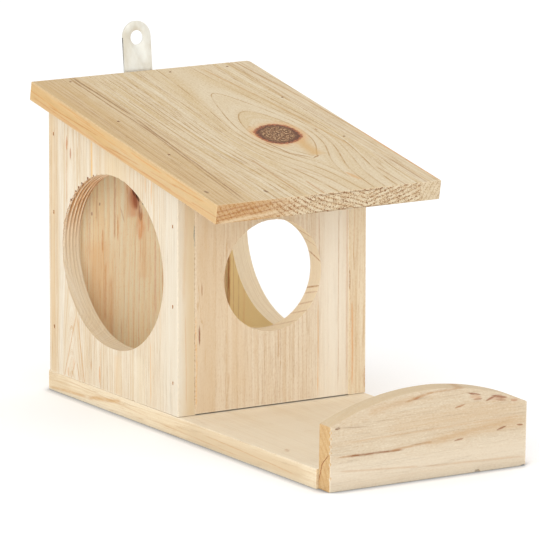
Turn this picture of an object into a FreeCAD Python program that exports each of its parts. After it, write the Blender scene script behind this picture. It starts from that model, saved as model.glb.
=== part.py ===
import FreeCAD, Part
import Sketcher
import math
import os

# Squirrel feeder box: a small house of sawn softwood boards, open through an oval
# hole in each side and a round one in the front, on a base board that runs forward
# as a feeding shelf. Millimetres, +Z up, the front looks along -Y. The origin is the
# centre of the base board's underside.

doc = FreeCAD.newDocument("SquirrelFeeder")

# Driving dimensions: name, value, meaning
SIZES = [
    ("board_thick", 9.3, "stock of the walls and of the roof"),
    ("arris", 0.4, "eased corner of a sawn board"),
    ("box_width", 102.5, "outside width of the box and of the base"),
    ("base_thick", 9.3, "stock of the base board"),
    ("base_length", 242.7, "base board, rear end to front end on the floor"),
    ("base_corner", 1.5, "rounding of the base's two rear corners"),
    ("base_tail", 2.1, "base standing out behind the box"),
    ("box_depth", 120.2, "side panel, front edge to rear edge"),
    ("box_lift", 0.6, "gap that the saw cut leaves under the front of the box"),
    ("wall_rear", 130.8, "rear edge of a side panel, above the base"),
    ("side_hole_long", 94.0, "length of the oval hole in each side panel"),
    ("side_hole_high", 82.6, "its height"),
    ("side_hole_up", 62.7, "its centre above the base"),
    ("front_hole", 52.7, "diameter of the hole in the front panel"),
    ("front_hole_up", 61.8, "its centre above the base"),
    ("roof_slope", 10.6, "fall of the roof to the front, degrees"),
    ("roof_length", 174.0, "roof along the slope"),
    ("roof_left", 8.2, "overhang past the left wall"),
    ("roof_right", 10.0, "overhang past the right wall"),
    ("roof_behind", 3.8, "overhang past the back panel, along the slope"),
    ("stave_width", 11.0, "narrow stave glued to the roof's right side"),
    ("stop_width", 105.0, "end board across the front of the base"),
    ("stop_shift", 2.4, "its centre, to the right of the base's centre"),
    ("stop_thick", 9.3, "stock of the end board"),
    ("stop_side", 30.0, "height of the end board at both ends"),
    ("stop_crown", 41.5, "height at the top of its arch"),
    ("stop_lean", 1.4, "forward lean of the end board, degrees"),
    ("strap_width", 15.3, "steel hanger strap"),
    ("strap_thick", 1.0, "sheet of the strap"),
    ("strap_shift", 1.4, "its centre line, to the right of the box's centre"),
    ("strap_foot", 105.5, "lower end of the strap above the floor"),
    ("strap_bend", 132.6, "lower bend of the step, above the floor"),
    ("strap_clear", 140.6, "upper bend of the step, above the floor"),
    ("strap_set", 4.2, "offset of the step that clears the roof's edge"),
    ("strap_top", 173.2, "upper end of the strap above the floor"),
    ("strap_lean", 6.0, "backward lean of the upper part, degrees"),
    ("strap_radius", 1.5, "inner radius of both bends"),
    ("hang_hole", 7.0, "diameter of the hanging hole"),
    ("hang_hole_up", 165.3, "its centre above the floor"),
    ("screw_hole", 3.4, "diameter of the strap's two fixing holes"),
    ("screw_low", 113.0, "lower fixing hole above the floor"),
    ("screw_pitch", 13.0, "distance between the fixing holes"),
    ("screw_shank", 3.0, "outer diameter of the screw's thread"),
    ("screw_grip", 9.0, "screw length under the head"),
    ("screw_tip", 2.5, "length of the screw's point"),
    ("screw_head", 6.0, "head diameter"),
    ("screw_rim", 0.7, "height of the head's upright rim"),
    ("screw_crown", 2.0, "height of the head"),
    ("screw_round", 0.9, "rounding of its brow"),
    ("nail_broad", 1.25, "broad side of a brad's shank"),
    ("nail_thick", 1.0, "narrow side of its shank and head"),
    ("nail_length", 20.0, "brad length over all"),
    ("nail_head", 2.0, "breadth of its head"),
    ("nail_head_thick", 0.8, "height of its head"),
    ("nail_tip", 1.8, "length of its point"),
    ("nail_set", 0.5, "head driven below the wood's surface"),
    ("punch_depth", 1.5, "dent of the punch, cut from the head outwards"),
    ("front_nail_high", 89.3, "side nails into the front panel, above the base"),
    ("front_nail_middle", 51.5, "the middle one"),
    ("front_nail_low", 15.5, "the lowest one"),
    ("rear_nail_high", 115.6, "side nails into the back panel, above the base"),
    ("rear_nail_middle", 78.0, "the middle one"),
    ("rear_nail_low", 22.3, "the lowest one"),
    ("roof_nail_back", 3.4, "rear row of roof nails, in from the back panel's face"),
    ("roof_nail_middle_left", 58.2, "middle nail over the left panel, from the box's rear"),
    ("roof_nail_middle_right", 49.3, "middle nail over the right panel"),
    ("roof_nail_front", 104.7, "front nails over the side panels"),
    ("roof_nail_left", 46.6, "roof nails over the left panel, left of the centre"),
    ("roof_nail_right", 48.7, "roof nails over the right panel, right of it"),
    ("row_nail_left", 41.0, "left nail of the rear row, left of the centre"),
    ("row_nail_inner", 13.8, "inner nail of the rear row, right of it"),
    ("row_nail_outer", 45.8, "outer nail of the rear row, right of it"),
    ("base_nail_rear", 28.0, "base nails into the side panels, from the box's rear"),
    ("base_nail_front", 92.0, "the front pair, from the box's rear"),
]

sheet = doc.addObject("Spreadsheet::Sheet", "sizes")
for row, (alias, value, meaning) in enumerate(SIZES, start=1):
    sheet.set(f"A{row}", meaning)
    sheet.set(f"B{row}", str(value))
    sheet.setAlias(f"B{row}", alias)
doc.recompute()

# Places and slopes that several pieces share, as expressions on the sheet
HALF_BOX = "sizes.box_width / 2"
INNER_HALF = "(sizes.box_width / 2 - sizes.board_thick)"
HALF_BOARD = "sizes.board_thick / 2"
BASE_REAR = "sizes.base_length / 2"
BOX_REAR = "(sizes.base_length / 2 - sizes.base_tail)"
BOX_FRONT = "(sizes.base_length / 2 - sizes.base_tail - sizes.box_depth)"
FALL = "tan(sizes.roof_slope)"
SOLE_RISE = "sizes.box_lift / sizes.box_depth"
WALL_FRONT = f"sizes.wall_rear - sizes.box_depth * {FALL}"
EYE_BEHIND = ("sizes.strap_set + (sizes.hang_hole_up - sizes.strap_clear) * tan(sizes.strap_lean)"
              " + sizes.strap_thick / 2 / cos(sizes.strap_lean)")
STEP_ANGLE = "(atan(sizes.strap_set / (sizes.strap_clear - sizes.strap_bend)) / 1 deg)"


def measure(expression):
    """Give the value in millimetres of an expression on the sheet."""
    result = sheet.evalExpression(expression)
    return float(getattr(result, "Value", result))


def bind(target, settings):
    """Bind properties of an object, or constraints of a sketch, to the sheet."""
    for path, expression in settings.items():
        target.setExpression(path, expression)


def place(target, across="0", along="0", up="0"):
    """Bind where a piece stands."""
    bind(target, {
        ".Placement.Base.x": across,
        ".Placement.Base.y": along,
        ".Placement.Base.z": up,
    })


def new_body(name):
    """Start a solid body."""
    body = doc.addObject("PartDesign::Body", name)
    body.Label = name
    return body


def new_sketch(body, name, role):
    """Add a sketch on one of the body's own origin planes."""
    plane = next(item for item in body.Origin.OriginFeatures if item.Role == role)
    sketch = body.newObject("Sketcher::SketchObject", name)
    sketch.AttachmentSupport = [(plane, "")]
    sketch.MapMode = "FlatFace"
    return sketch


def pin(sketch, kind, line, end, name, expression):
    """Hold one point's distance from an axis, or hold it on the axis for 0."""
    if expression == "0":
        axis = -2 if kind == "DistanceX" else -1
        sketch.addConstraint(Sketcher.Constraint("PointOnObject", line, end, axis))
        return
    value = measure(expression)
    rule = Sketcher.Constraint(kind, -1, 1, line, end, value)
    sketch.renameConstraint(sketch.addConstraint(rule), name)
    sketch.setExpression(f"Constraints.{name}", expression)


def draw_outline(sketch, corners):
    """Draw a closed outline. Corners that share an expression share an upright or level line."""
    points = [FreeCAD.Vector(measure(across), measure(up), 0) for _, across, up in corners]
    count = len(corners)
    first = sketch.GeometryCount
    for index in range(count):
        sketch.addGeometry(Part.LineSegment(points[index], points[(index + 1) % count]))
    for index in range(count):
        after = first + (index + 1) % count
        sketch.addConstraint(Sketcher.Constraint("Coincident", first + index, 2, after, 1))
    for axis, kind, rule in ((1, "DistanceX", "Vertical"), (2, "DistanceY", "Horizontal")):
        for index, corner in enumerate(corners):
            line = first + index
            if index > 0 and corners[index - 1][axis] == corner[axis]:
                sketch.addConstraint(Sketcher.Constraint(rule, line - 1))
            elif index == count - 1 and corners[0][axis] == corner[axis]:
                sketch.addConstraint(Sketcher.Constraint(rule, line))
            else:
                pin(sketch, kind, line, 1, f"{corner[0]}_{kind[-1].lower()}", corner[axis])


def draw_circle(sketch, name, across, up, diameter):
    """Draw a circle with its centre and diameter bound to the sheet."""
    centre = FreeCAD.Vector(measure(across), measure(up), 0)
    upright = FreeCAD.Vector(0, 0, 1)
    circle = sketch.addGeometry(Part.Circle(centre, upright, measure(diameter) / 2))
    pin(sketch, "DistanceX", circle, 3, f"{name}_x", across)
    pin(sketch, "DistanceY", circle, 3, f"{name}_y", up)
    rule = Sketcher.Constraint("Diameter", circle, measure(diameter))
    sketch.renameConstraint(sketch.addConstraint(rule), f"{name}_diameter")
    sketch.setExpression(f"Constraints.{name}_diameter", diameter)


def draw_oval(sketch, name, across, up, length, height):
    """Draw a level ellipse with its centre and both axes bound to the sheet."""
    centre = FreeCAD.Vector(measure(across), measure(up), 0)
    end = centre + FreeCAD.Vector(measure(length) / 2, 0, 0)
    top = centre + FreeCAD.Vector(0, measure(height) / 2, 0)
    oval = sketch.addGeometry(Part.Ellipse(end, top, centre))
    pin(sketch, "DistanceX", oval, 3, f"{name}_x", across)
    pin(sketch, "DistanceY", oval, 3, f"{name}_y", up)
    sketch.exposeInternalGeometry(oval)
    long_axis, short_axis = oval + 1, oval + 2
    sketch.addConstraint(Sketcher.Constraint("Horizontal", long_axis))
    for axis, role, expression in ((long_axis, "length", length), (short_axis, "height", height)):
        rule = Sketcher.Constraint("Distance", axis, measure(expression))
        sketch.renameConstraint(sketch.addConstraint(rule), f"{name}_{role}")
        sketch.setExpression(f"Constraints.{name}_{role}", expression)


def add_pad(body, sketch, length, side="One side"):
    """Pad a sketch by a bound length."""
    pad = body.newObject("PartDesign::Pad", f"{body.Name}_pad")
    pad.Profile = sketch
    pad.SideType = side
    pad.setExpression("Length", length)
    doc.recompute()
    return pad


def cut_through(body, sketch):
    """Cut a sketch through the whole body, both ways from its plane."""
    pocket = body.newObject("PartDesign::Pocket", f"{sketch.Name}_cut")
    pocket.Profile = sketch
    pocket.SideType = "Symmetric"
    pocket.Type = "ThroughAll"
    before = body.Shape.Volume
    doc.recompute()
    if body.Shape.Volume >= before:
        raise RuntimeError(f"{sketch.Name} cuts nothing")
    return pocket


def dress_edges(body, kind, expression, wanted):
    """Chamfer or fillet the edges that a test on each edge picks out."""
    base = body.Tip
    names = [f"Edge{number}" for number, edge in enumerate(base.Shape.Edges, start=1) if wanted(edge)]
    if not names:
        raise RuntimeError(f"{body.Name} has no edge to dress")
    dress = body.newObject(f"PartDesign::{kind}", f"{body.Name}_{kind.lower()}")
    dress.Base = (base, names)
    dress.setExpression("Radius" if kind == "Fillet" else "Size", expression)
    doc.recompute()
    return dress


def edge_span(edge, axis):
    """Give the least and the greatest coordinate of an edge along one axis."""
    box = edge.BoundBox
    return ((box.XMin, box.XMax), (box.YMin, box.YMax), (box.ZMin, box.ZMax))[axis]


def runs_along(edge, axis):
    """Tell whether a straight edge lies parallel to one axis."""
    straight = edge.Curve.TypeId == "Part::GeomLine"
    low, high = edge_span(edge, axis)
    return straight and high - low > edge.Length * 0.999


def lies_at(edge, axis, value):
    """Tell whether a whole edge lies at one coordinate."""
    low, high = edge_span(edge, axis)
    return abs(low - value) < 1e-4 and abs(high - value) < 1e-4


def make_base():
    """Base board: its front end is sawn to the end board's lean, its rear corners rounded."""
    body = new_body("base_blank")
    profile = new_sketch(body, "base_profile", "YZ_Plane")
    draw_outline(profile, [
        ("rear_low", BASE_REAR, "0"),
        ("rear_high", BASE_REAR, "sizes.base_thick"),
        ("front_high", f"-{BASE_REAR} - sizes.base_thick * tan(sizes.stop_lean)", "sizes.base_thick"),
        ("front_low", f"-{BASE_REAR}", "0"),
    ])
    add_pad(body, profile, "sizes.box_width", "Symmetric")
    rear = measure(BASE_REAR)
    dress_edges(body, "Fillet", "sizes.base_corner",
                lambda edge: runs_along(edge, 2) and lies_at(edge, 1, rear))
    return body


def make_side(name, across):
    """Side panel: sloped top, oval feeding hole, and a sole sawn slightly out of square."""
    body = new_body(name)
    outline = new_sketch(body, f"{name}_outline", "YZ_Plane")
    draw_outline(outline, [
        ("rear_low", "0", "0"),
        ("rear_high", "0", "sizes.wall_rear"),
        ("front_high", "-sizes.box_depth", WALL_FRONT),
        ("front_low", "-sizes.box_depth", "sizes.box_lift"),
    ])
    draw_oval(outline, "hole", "-sizes.box_depth / 2", "sizes.side_hole_up",
              "sizes.side_hole_long", "sizes.side_hole_high")
    add_pad(body, outline, "sizes.board_thick")
    place(body, across, BOX_REAR, "sizes.base_thick")
    return body


def make_cross_wall(name, from_rear):
    """Wall between the side panels. Its outer face is from_rear in front of the box's rear."""
    body = new_body(name)
    profile = new_sketch(body, f"{name}_profile", "YZ_Plane")
    outer = f"-({from_rear})"
    inner = f"-({from_rear}) - sizes.board_thick"
    draw_outline(profile, [
        ("rear_low", outer, f"({from_rear}) * {SOLE_RISE}"),
        ("rear_high", outer, f"sizes.wall_rear - ({from_rear}) * {FALL}"),
        ("front_high", inner, f"sizes.wall_rear - (({from_rear}) + sizes.board_thick) * {FALL}"),
        ("front_low", inner, f"(({from_rear}) + sizes.board_thick) * {SOLE_RISE}"),
    ])
    add_pad(body, profile, f"2 * {INNER_HALF}", "Symmetric")
    place(body, "0", BOX_REAR, "sizes.base_thick")
    return body


def make_front():
    """Front wall, with the round hole that looks on to the shelf."""
    body = make_cross_wall("front_blank", "sizes.box_depth - sizes.board_thick")
    opening = new_sketch(body, "front_opening", "XZ_Plane")
    draw_circle(opening, "hole", "0", "sizes.front_hole_up", "sizes.front_hole")
    cut_through(body, opening)
    return body


def make_roof_stave(name, left, right, seam_at_right):
    """One stave of the roof. Its glued edge stays sharp, its other corners are eased."""
    body = new_body(name)
    outline = new_sketch(body, f"{name}_outline", "XY_Plane")
    draw_outline(outline, [
        ("left_rear", left, "0"),
        ("right_rear", right, "0"),
        ("right_front", right, "-sizes.roof_length"),
        ("left_front", left, "-sizes.roof_length"),
    ])
    add_pad(body, outline, "sizes.board_thick")
    seam = measure(right if seam_at_right else left)
    dress_edges(body, "Chamfer", "sizes.arris", lambda edge: not lies_at(edge, 0, seam))
    body.Placement = FreeCAD.Placement(
        FreeCAD.Vector(0, 0, 0), FreeCAD.Rotation(FreeCAD.Vector(1, 0, 0), measure("sizes.roof_slope"))
    )
    body.setExpression(".Placement.Rotation.Angle", "sizes.roof_slope")
    place(body, "0", f"{BOX_REAR} + sizes.roof_behind * cos(sizes.roof_slope)",
          "sizes.base_thick + sizes.wall_rear + sizes.roof_behind * sin(sizes.roof_slope)")
    return body


def make_stop():
    """End board: straight ends and an arched top, leaning forward with the base's sawn end."""
    body = new_body("stop_board")
    outline = new_sketch(body, "stop_outline", "XZ_Plane")
    half = measure("sizes.stop_width / 2")
    side = measure("sizes.stop_side")
    rise = measure("sizes.stop_crown - sizes.stop_side")
    radius = (half * half + rise * rise) / (2 * rise)
    left_foot = FreeCAD.Vector(-half, 0, 0)
    right_foot = FreeCAD.Vector(half, 0, 0)
    right_end = FreeCAD.Vector(half, side, 0)
    left_end = FreeCAD.Vector(-half, side, 0)
    sole = outline.addGeometry(Part.LineSegment(left_foot, right_foot))
    right = outline.addGeometry(Part.LineSegment(right_foot, right_end))
    upright = FreeCAD.Vector(0, 0, 1)
    centre = FreeCAD.Vector(0, side + rise - radius, 0)
    half_turn = math.asin(half / radius)
    arch = outline.addGeometry(Part.ArcOfCircle(
        Part.Circle(centre, upright, radius), math.pi / 2 - half_turn, math.pi / 2 + half_turn))
    left = outline.addGeometry(Part.LineSegment(left_end, left_foot))
    for rule in (
        ("Coincident", sole, 2, right, 1),
        ("Coincident", right, 2, arch, 1),
        ("Coincident", arch, 2, left, 1),
        ("Coincident", left, 2, sole, 1),
        ("Vertical", right),
        ("Vertical", left),
        ("Horizontal", sole),
        ("PointOnObject", arch, 3, -2),
    ):
        outline.addConstraint(Sketcher.Constraint(*rule))
    pin(outline, "DistanceY", sole, 1, "sole_y", "0")
    pin(outline, "DistanceX", right, 1, "half_width", "sizes.stop_width / 2")
    pin(outline, "DistanceY", right, 2, "side_height", "sizes.stop_side")
    arch_radius = outline.addConstraint(Sketcher.Constraint("Radius", arch, radius))
    outline.renameConstraint(arch_radius, "arch_radius")
    outline.setExpression(
        "Constraints.arch_radius",
        "((sizes.stop_width / 2)^2 + (sizes.stop_crown - sizes.stop_side)^2)"
        " / (2 * (sizes.stop_crown - sizes.stop_side))")
    add_pad(body, outline, "sizes.stop_thick")
    dress_edges(body, "Chamfer", "sizes.arris", lambda edge: not runs_along(edge, 1))
    body.Placement = FreeCAD.Placement(
        FreeCAD.Vector(0, 0, 0), FreeCAD.Rotation(FreeCAD.Vector(1, 0, 0), measure("sizes.stop_lean"))
    )
    body.setExpression(".Placement.Rotation.Angle", "sizes.stop_lean")
    place(body, "sizes.stop_shift",
          f"-{BASE_REAR} - sizes.stop_thick * tan(sizes.stop_lean) * sin(sizes.stop_lean)",
          "sizes.stop_thick * sin(sizes.stop_lean)")
    return body


def make_strap():
    """Hanger strap: flat steel with a formed step, round ends, a hanging hole, two fixing holes."""
    body = new_body("hanger_plate")
    section = new_sketch(body, "strap_section", "YZ_Plane")
    top_front = "sizes.strap_set + (sizes.strap_top - sizes.strap_clear) * tan(sizes.strap_lean)"
    step = f"sizes.strap_thick * tan({STEP_ANGLE} / 2)"
    mitre = f"sizes.strap_thick / cos(({STEP_ANGLE} - sizes.strap_lean) / 2)"
    half_sum = f"(({STEP_ANGLE} + sizes.strap_lean) / 2)"
    draw_outline(section, [
        ("foot_front", "0", "sizes.strap_foot"),
        ("foot_back", "sizes.strap_thick", "sizes.strap_foot"),
        ("bend_back", "sizes.strap_thick", f"sizes.strap_bend - {step}"),
        ("clear_back", f"sizes.strap_set + {mitre} * cos({half_sum})",
         f"sizes.strap_clear - {mitre} * sin({half_sum})"),
        ("top_back", f"{top_front} + sizes.strap_thick / cos(sizes.strap_lean)", "sizes.strap_top"),
        ("top_front", top_front, "sizes.strap_top"),
        ("clear_front", "sizes.strap_set", "sizes.strap_clear"),
        ("bend_front", "0", "sizes.strap_bend"),
    ])
    add_pad(body, section, "sizes.strap_width", "Symmetric")
    bend_back = measure(f"sizes.strap_bend - {step}")
    clear_back = measure(f"sizes.strap_clear - {mitre} * sin({half_sum})")
    outer = "sizes.strap_radius + sizes.strap_thick"
    inner_corners = (bend_back, measure("sizes.strap_clear"))
    outer_corners = (measure("sizes.strap_bend"), clear_back)
    for radius, corners in (("sizes.strap_radius", inner_corners), (outer, outer_corners)):
        dress_edges(body, "Fillet", radius,
                    lambda edge: runs_along(edge, 0) and any(lies_at(edge, 2, up) for up in corners))
    trim_strap(body)
    place(body, "sizes.strap_shift", BOX_REAR, "0")
    return body


def trim_strap(body):
    """Round both ends of the strap and punch its three holes."""
    trim = new_sketch(body, "strap_ends", "XZ_Plane")
    half = measure("sizes.strap_width / 2")
    low = measure("sizes.strap_foot") + half
    high = measure("sizes.strap_top") - half
    upright = FreeCAD.Vector(0, 0, 1)
    right = trim.addGeometry(Part.LineSegment(FreeCAD.Vector(half, low, 0), FreeCAD.Vector(half, high, 0)))
    crown = trim.addGeometry(Part.ArcOfCircle(
        Part.Circle(FreeCAD.Vector(0, high, 0), upright, half), 0, math.pi))
    left = trim.addGeometry(Part.LineSegment(FreeCAD.Vector(-half, high, 0), FreeCAD.Vector(-half, low, 0)))
    heel = trim.addGeometry(Part.ArcOfCircle(
        Part.Circle(FreeCAD.Vector(0, low, 0), upright, half), math.pi, 2 * math.pi))
    for rule in (
        ("Tangent", right, 2, crown, 1),
        ("Tangent", crown, 2, left, 1),
        ("Tangent", left, 2, heel, 1),
        ("Tangent", heel, 2, right, 1),
        ("Vertical", right),
        ("PointOnObject", crown, 3, -2),
        ("PointOnObject", heel, 3, -2),
    ):
        trim.addConstraint(Sketcher.Constraint(*rule))
    pin(trim, "DistanceX", right, 1, "half_width", "sizes.strap_width / 2")
    pin(trim, "DistanceY", heel, 3, "heel_centre", "sizes.strap_foot + sizes.strap_width / 2")
    pin(trim, "DistanceY", crown, 3, "crown_centre", "sizes.strap_top - sizes.strap_width / 2")
    draw_outline(trim, [
        ("waste_low_left", "-sizes.strap_width", "sizes.strap_foot - sizes.strap_width"),
        ("waste_low_right", "sizes.strap_width", "sizes.strap_foot - sizes.strap_width"),
        ("waste_high_right", "sizes.strap_width", "sizes.strap_top + sizes.strap_width"),
        ("waste_high_left", "-sizes.strap_width", "sizes.strap_top + sizes.strap_width"),
    ])
    cut_through(body, trim)
    fixings = new_sketch(body, "strap_fixings", "XZ_Plane")
    draw_circle(fixings, "low", "0", "sizes.screw_low", "sizes.screw_hole")
    draw_circle(fixings, "high", "0", "sizes.screw_low + sizes.screw_pitch", "sizes.screw_hole")
    cut_through(body, fixings)
    eye = new_sketch(body, "hanging_eye", "XZ_Plane")
    leaned = FreeCAD.Rotation(FreeCAD.Vector(-1, 0, 0), measure("sizes.strap_lean"))
    eye.AttachmentOffset = FreeCAD.Placement(FreeCAD.Vector(0, 0, 0), leaned)
    bind(eye, {
        ".AttachmentOffset.Rotation.Angle": "sizes.strap_lean",
        ".AttachmentOffset.Base.y": "sizes.hang_hole_up",
        ".AttachmentOffset.Base.z": f"-({EYE_BEHIND})",
    })
    draw_circle(eye, "eye", "0", "0", "sizes.hang_hole")
    cut_through(body, eye)


def spin(body, sketch):
    """Turn a half section round the body's upright axis."""
    turned = body.newObject("PartDesign::Revolution", f"{body.Name}_turned")
    turned.Profile = sketch
    turned.ReferenceAxis = (sketch, ["V_Axis"])
    turned.Angle = 360
    doc.recompute()
    return body


def make_nail(name, above_head):
    """Flat brad with a broad head, head up at the origin. above_head is how far it goes on above that."""
    body = new_body(name)
    section = new_sketch(body, f"{name}_section", "XZ_Plane")
    below_head = "-sizes.nail_head_thick"
    above_tip = "sizes.nail_tip - sizes.nail_length"
    draw_outline(section, [
        ("head_left", "-sizes.nail_head / 2", above_head),
        ("head_right", "sizes.nail_head / 2", above_head),
        ("brim_right", "sizes.nail_head / 2", below_head),
        ("neck_right", "sizes.nail_broad / 2", below_head),
        ("shoulder_right", "sizes.nail_broad / 2", above_tip),
        ("tip", "0", "-sizes.nail_length"),
        ("shoulder_left", "-sizes.nail_broad / 2", above_tip),
        ("neck_left", "-sizes.nail_broad / 2", below_head),
        ("brim_left", "-sizes.nail_head / 2", below_head),
    ])
    add_pad(body, section, "sizes.nail_thick", "Symmetric")
    return body


def make_screw():
    """Pan-head wood screw, head up, its seat at the origin."""
    body = new_body("screw")
    section = new_sketch(body, "screw_section", "XZ_Plane")
    draw_outline(section, [
        ("crown", "0", "sizes.screw_crown"),
        ("brow", "sizes.screw_head / 4", "sizes.screw_crown"),
        ("rim_high", "sizes.screw_head / 2", "sizes.screw_rim"),
        ("rim_low", "sizes.screw_head / 2", "0"),
        ("neck", "sizes.screw_shank / 2", "0"),
        ("shoulder", "sizes.screw_shank / 2", "sizes.screw_tip - sizes.screw_grip"),
        ("tip", "0", "-sizes.screw_grip"),
    ])
    spin(body, section)
    crown = measure("sizes.screw_crown")
    dress_edges(body, "Fillet", "sizes.screw_round", lambda edge: lies_at(edge, 2, crown))
    return body


def set_out(master, name, turn, spots):
    """Set copies of a fastener at each spot, turned the same way, as one group."""
    axis, angle = turn
    copies = []
    for number, (across, along, up) in enumerate(spots, start=1):
        copy = doc.addObject("App::Link", f"{name}_{number}")
        copy.LinkedObject = master
        copy.Placement = FreeCAD.Placement(FreeCAD.Vector(0, 0, 0), FreeCAD.Rotation(axis, angle))
        place(copy, across, along, up)
        copies.append(copy)
    group = doc.addObject("Part::Compound", name)
    group.Label = name
    group.Links = copies
    return group


def drill(blank, name, groups):
    """Cut the holes of several fastener groups out of a board."""
    holes = doc.addObject("Part::Compound", f"{name}_nail_holes")
    holes.Links = groups
    board = doc.addObject("Part::Cut", name)
    board.Label = name
    board.Base = blank
    board.Tool = holes
    doc.recompute()
    if board.Shape.Volume >= blank.Shape.Volume:
        raise RuntimeError(f"{name} got no nail holes")
    return board


def roof_top_over(from_rear):
    """Height of the roof's upper face, plumb above a place in front of the box's rear."""
    return (f"sizes.base_thick + sizes.wall_rear - ({from_rear}) * {FALL}"
            " + sizes.board_thick / cos(sizes.roof_slope)")


SIDEWAYS = FreeCAD.Vector(0, 1, 0)
LENGTHWAYS = FreeCAD.Vector(1, 0, 0)
TO_THE_RIGHT = (SIDEWAYS, -90)
TO_THE_LEFT = (SIDEWAYS, 90)
DOWNWARDS = (LENGTHWAYS, 0)
UPWARDS = (LENGTHWAYS, 180)
FORWARDS = (LENGTHWAYS, -90)


def side_spots(sign, along, row):
    """Places of a row of nails through a side panel, heads below its outer face."""
    across = f"{sign}({HALF_BOX} - sizes.nail_set)"
    heights = [f"sizes.base_thick + sizes.{row}_{name}" for name in ("low", "middle", "high")]
    return [(across, along, up) for up in heights]


def roof_spot(across, from_rear):
    """Place of one nail through the roof, its head below the upper face."""
    head = f"{roof_top_over(from_rear)} - sizes.nail_set"
    return (across, f"{BOX_REAR} - ({from_rear})", head)


def base_spot(across, along):
    """Place of one nail up through the base, its head above the underside."""
    return (across, along, "sizes.nail_set")


IN_FRONT_WALL = f"{BOX_FRONT} + {HALF_BOARD}"
IN_BACK_WALL = f"{BOX_REAR} - {HALF_BOARD}"
IN_SIDE_WALL = f"({HALF_BOX} - {HALF_BOARD})"
ROOF_LEFT_PAIR = ("sizes.roof_nail_middle_left", "sizes.roof_nail_front")
ROOF_RIGHT_PAIR = ("sizes.roof_nail_middle_right", "sizes.roof_nail_front")
BASE_PAIR = (f"{BOX_REAR} - sizes.base_nail_rear", f"{BOX_REAR} - sizes.base_nail_front")

NAIL_GROUPS = {
    "left_front_nails": (TO_THE_RIGHT, side_spots("-", IN_FRONT_WALL, "front_nail")),
    "left_rear_nails": (TO_THE_RIGHT, side_spots("-", IN_BACK_WALL, "rear_nail")),
    "right_front_nails": (TO_THE_LEFT, side_spots("", IN_FRONT_WALL, "front_nail")),
    "right_rear_nails": (TO_THE_LEFT, side_spots("", IN_BACK_WALL, "rear_nail")),
    "roof_rear_nails": (DOWNWARDS, [
        roof_spot("-sizes.row_nail_left", "sizes.roof_nail_back"),
        roof_spot("sizes.row_nail_inner", "sizes.roof_nail_back"),
        roof_spot("sizes.row_nail_outer", "sizes.roof_nail_back"),
    ]),
    "roof_left_nails": (DOWNWARDS, [
        roof_spot("-sizes.roof_nail_left", spot) for spot in ROOF_LEFT_PAIR]),
    "roof_right_nails": (DOWNWARDS, [
        roof_spot("sizes.roof_nail_right", spot) for spot in ROOF_RIGHT_PAIR]),
    "base_left_nails": (UPWARDS, [base_spot(f"-{IN_SIDE_WALL}", spot) for spot in BASE_PAIR]),
    "base_right_nails": (UPWARDS, [base_spot(IN_SIDE_WALL, spot) for spot in BASE_PAIR]),
    "base_middle_nails": (UPWARDS, [base_spot("0", IN_FRONT_WALL), base_spot("0", IN_BACK_WALL)]),
}

# Fasteners, and the holes that they make in the boards
nail = make_nail("nail", "0")
nail_hole = make_nail("nail_hole", "sizes.punch_depth")
nails = {}
holes = {}
for group_name, (turn, spots) in NAIL_GROUPS.items():
    nails[group_name] = set_out(nail, group_name, turn, spots)
    holes[group_name] = set_out(nail_hole, f"{group_name}_cut", turn, spots)

screw_seat = f"{BOX_REAR} + sizes.strap_thick"
screws = set_out(make_screw(), "hanger_screws", FORWARDS, [
    ("sizes.strap_shift", screw_seat, "sizes.screw_low"),
    ("sizes.strap_shift", screw_seat, "sizes.screw_low + sizes.screw_pitch"),
])

# Boards
SEAM = f"({HALF_BOX} + sizes.roof_right - sizes.stave_width)"
base = drill(make_base(), "base_board", [
    holes["base_left_nails"], holes["base_right_nails"], holes["base_middle_nails"]])
left_side = drill(make_side("left_blank", f"-{HALF_BOX}"), "left_side_panel", [
    holes["left_front_nails"], holes["left_rear_nails"], holes["roof_left_nails"],
    holes["base_left_nails"]])
right_side = drill(make_side("right_blank", INNER_HALF), "right_side_panel", [
    holes["right_front_nails"], holes["right_rear_nails"], holes["roof_right_nails"],
    holes["roof_rear_nails"], holes["base_right_nails"]])
front = drill(make_front(), "front_panel", [
    holes["left_front_nails"], holes["right_front_nails"], holes["base_middle_nails"]])
back = drill(make_cross_wall("back_blank", "0"), "back_panel", [
    holes["left_rear_nails"], holes["right_rear_nails"], holes["roof_rear_nails"],
    holes["base_middle_nails"], screws])
roof = drill(make_roof_stave("roof_blank", f"-{HALF_BOX} - sizes.roof_left", SEAM, True), "roof_board", [
    holes["roof_left_nails"], holes["roof_right_nails"], holes["roof_rear_nails"]])
roof_stave = make_roof_stave("roof_edge_stave", SEAM, f"{HALF_BOX} + sizes.roof_right", False)
stop = make_stop()
strap = make_strap()
doc.recompute()

# Every piece is checked before any is written
pieces = [base, left_side, right_side, front, back, roof, roof_stave, stop, strap, screws]
pieces += list(nails.values())
for item in doc.Objects:
    if "Invalid" in item.State or "Error" in item.State:
        raise RuntimeError(f"{item.Label} did not build: {item.State}")
for piece in pieces:
    if piece.Shape.isNull() or not piece.Shape.isValid():
        raise RuntimeError(f"{piece.Label} has no valid shape")

os.makedirs("parts", exist_ok=True)
for piece in pieces:
    piece.Shape.exportStep(f"parts/{piece.Label}.step")
    span = piece.Shape.BoundBox
    print(f"{piece.Label}: {len(piece.Shape.Solids)} solid, {piece.Shape.Volume / 1000:.3f} cm3, "
          f"{span.XLength:.1f} x {span.YLength:.1f} x {span.ZLength:.1f} mm")
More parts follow.
